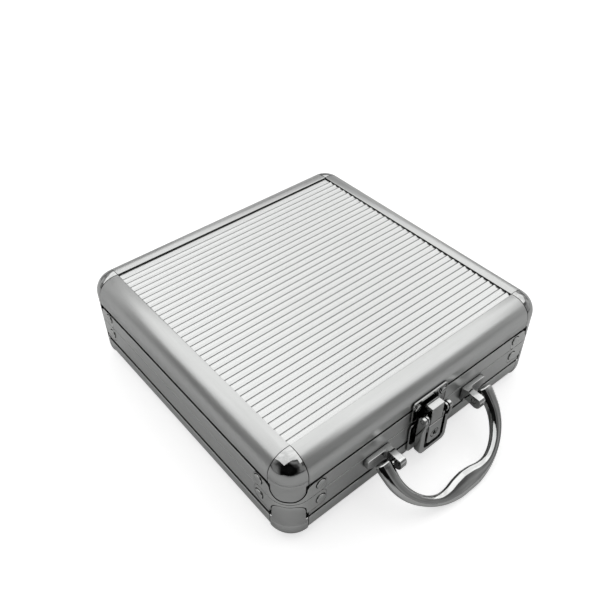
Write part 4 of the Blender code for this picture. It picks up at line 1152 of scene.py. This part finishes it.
def bracket(sign):
    """A plate and its lug, with a hollow fillet on the handle's side."""
    top, low, under = BRACKET_TOP, 23.5, 27.5
    outline = [(LUG_IN, low), (LUG_IN, top), (47.2, top), (48.5, top - 0.5), (49.0, top - 1.8)]
    outline += [(49.0, 28.8), (48.4, 27.4), (46.8, 26.4), (42.5, 24.2), (40.6, low)]
    plate = slab([(sign * x, z) for x, z in outline], BRACKET_FACE, PLATE_BACK, 0.5)
    near, far = beside(sign, LUG_IN, LUG_IN + LUG_THICK)
    lug = [(front(PLATE_FACE), under), (front(PLATE_FACE), top)]
    lug += arc((front(LUG_TIP - 2.8), top - 2.8), 2.8, 90, 180, 12)
    lug += arc((front(LUG_TIP - 4.0), 29.5), 4.0, 180, 270, 12)
    lug = bar(lug, 0, near, far, 0.5)
    fillet = lug_fillet(sign, under + 0.3, top - 0.25)
    hole = bore(HANDLE_BORE, HANDLE_OFF, HANDLE_Z, near - 2, far + 2, 24)
    return soften(cut(join(plate, lug, fillet), hole), 0.12, 2, 50)


def handle_stud(sign):
    """The pin through a lug and the handle's end."""
    pairs = [(0, 0), (1.35, 0), (1.5, 0.15), (1.5, 12.8), (1.3, 13.1), (0, 13.1)]
    return turned(pairs, 28, 0, (sign * (LUG_IN - 0.1), front(HANDLE_OFF), HANDLE_Z), sign)


keep(handle(), "cast_handle", "handle", "handle", [CAST], 24, weighted=False)
for side, sign in PAIR:
    keep(bracket(sign), "handle_lug_" + side, "base", "handle_bracket_" + side, [LUG])
    keep(handle_stud(sign), "handle_stud_" + side, "base", "handle_pin_" + side, [STEEL], 38)


# ---- stage, light, camera ----
ROOM_DIM, ROOM_LIT = 0.2, 0.53  # the room's brightness in front and behind
BRIGHT_WAY = (0.64, 0.77, 0.0)  # towards the lit end of the room
DARK_WAY = (-0.68, -0.58, 0.45)  # towards the unlit camera, which the polish shows
FLOOR_GREY = 0.58  # the floor as the case sees it
FLOOR_PALE = 0.62  # the floor as the camera sees it, and its glow
FLOOR_GLOW = 0.67
BACKDROP = 0.95
VIEW_FROM = (-221.2, -255.6, 356.2)  # millimetres
VIEW_ALONG = (0.4744, 0.5717, -0.6694)
VIEW_RIGHT = (0.7672, -0.6414, -0.0040)


def grey(value):
    return (value, value, value, 1)


def camera_sees(tree, seen, otherwise, out):
    """One shader for the camera and another for everything else."""
    path = new_node(tree, "ShaderNodeLightPath")
    mix = new_node(tree, "ShaderNodeMixShader",
                   {0: path.outputs["Is Camera Ray"], 1: otherwise.outputs[0], 2: seen.outputs[0]})
    new_node(tree, out, {"Surface": mix.outputs[0]})


def floor():
    """A pale floor, evenly white for the camera but for a soft shadow round the case."""
    bm = bmesh.new()
    bmesh.ops.create_grid(bm, x_segments=2, y_segments=2, size=6.0)
    made = new_object(bm, "floor")
    made.location.z = -0.0002
    look = bpy.data.materials.new("pale_floor")
    look.use_nodes = True
    tree = look.node_tree
    tree.nodes.clear()
    plain = new_node(tree, "ShaderNodeBsdfDiffuse", {"Color": grey(FLOOR_GREY)})
    pale = new_node(tree, "ShaderNodeBsdfDiffuse", {"Color": grey(FLOOR_PALE)})
    glow = new_node(tree, "ShaderNodeEmission", {"Strength": FLOOR_GLOW})
    lit = new_node(tree, "ShaderNodeAddShader", {0: pale.outputs[0], 1: glow.outputs[0]})
    camera_sees(tree, lit, plain, "ShaderNodeOutputMaterial")
    made.data.materials.append(look)


def world():
    """A studio room: dim towards the front left, brighter behind; white where the camera sees it."""
    made = bpy.data.worlds.new("studio")
    bpy.context.scene.world = made
    made.use_nodes = True
    tree = made.node_tree
    tree.nodes.clear()
    where = new_node(tree, "ShaderNodeTexCoord").outputs["Generated"]

    def towards(way, start, end, low, high, kind):
        """Goes from low to high as a direction turns towards another."""
        near = new_node(tree, "ShaderNodeVectorMath", {0: where, 1: way}, operation="DOT_PRODUCT")
        return ramp(tree, near.outputs["Value"], start, end, low, high, kind)

    shapes = new_node(tree, "ShaderNodeTexNoise", {"Vector": where, "Scale": 2.6, "Detail": 3.0})
    lit = towards(BRIGHT_WAY, -0.8, 0.9, ROOM_DIM, ROOM_LIT, "SMOOTHSTEP")
    varied = ramp(tree, shapes.outputs["Fac"], 0.42, 0.6, 0.45, 1.55)
    blocked = towards(DARK_WAY, 0.88, 0.72, 0.03, 1.0, "LINEAR")
    for factor in (varied, blocked):
        lit = new_node(tree, "ShaderNodeMath", {0: lit, 1: factor}, operation="MULTIPLY").outputs[0]
    room = new_node(tree, "ShaderNodeBackground", {"Strength": lit})
    pale = new_node(tree, "ShaderNodeBackground", {"Color": grey(BACKDROP)})
    camera_sees(tree, pale, room, "ShaderNodeOutputWorld")


def softbox(name, low, high, radiance):
    """A rectangular soft light, a metre up and facing down, that the camera doesn't see."""
    data = bpy.data.lights.new(name, "AREA")
    data.shape = "RECTANGLE"
    data.size, data.size_y = high[0] - low[0], high[1] - low[1]
    data.energy = radiance * data.size * data.size_y * math.pi
    made = linked(name, data)
    made.location = ((low[0] + high[0]) / 2, (low[1] + high[1]) / 2, 1.0)
    made.visible_camera = False


def camera():
    """A camera at the photo's view."""
    data = bpy.data.cameras.new("camera")
    data.sensor_width = 36.0
    data.lens = 42.97
    made = linked("camera", data)
    forward = Vector(VIEW_ALONG).normalized()
    up = Vector(VIEW_RIGHT).normalized().cross(forward).normalized()
    right = forward.cross(up)
    turn = Matrix((right, up, -forward)).transposed().to_4x4()
    made.matrix_world = Matrix.Translation(CENTRE + Vector(VIEW_FROM) * MM) @ turn
    bpy.context.scene.camera = made


floor()
world()
softbox("overhead", (-1.15, -0.46), (2.3, 1.6), 0.99)
softbox("overhead_front", (0.1, -0.95), (2.2, -0.46), 1.0)
camera()
bpy.context.scene.view_settings.view_transform = "Standard"
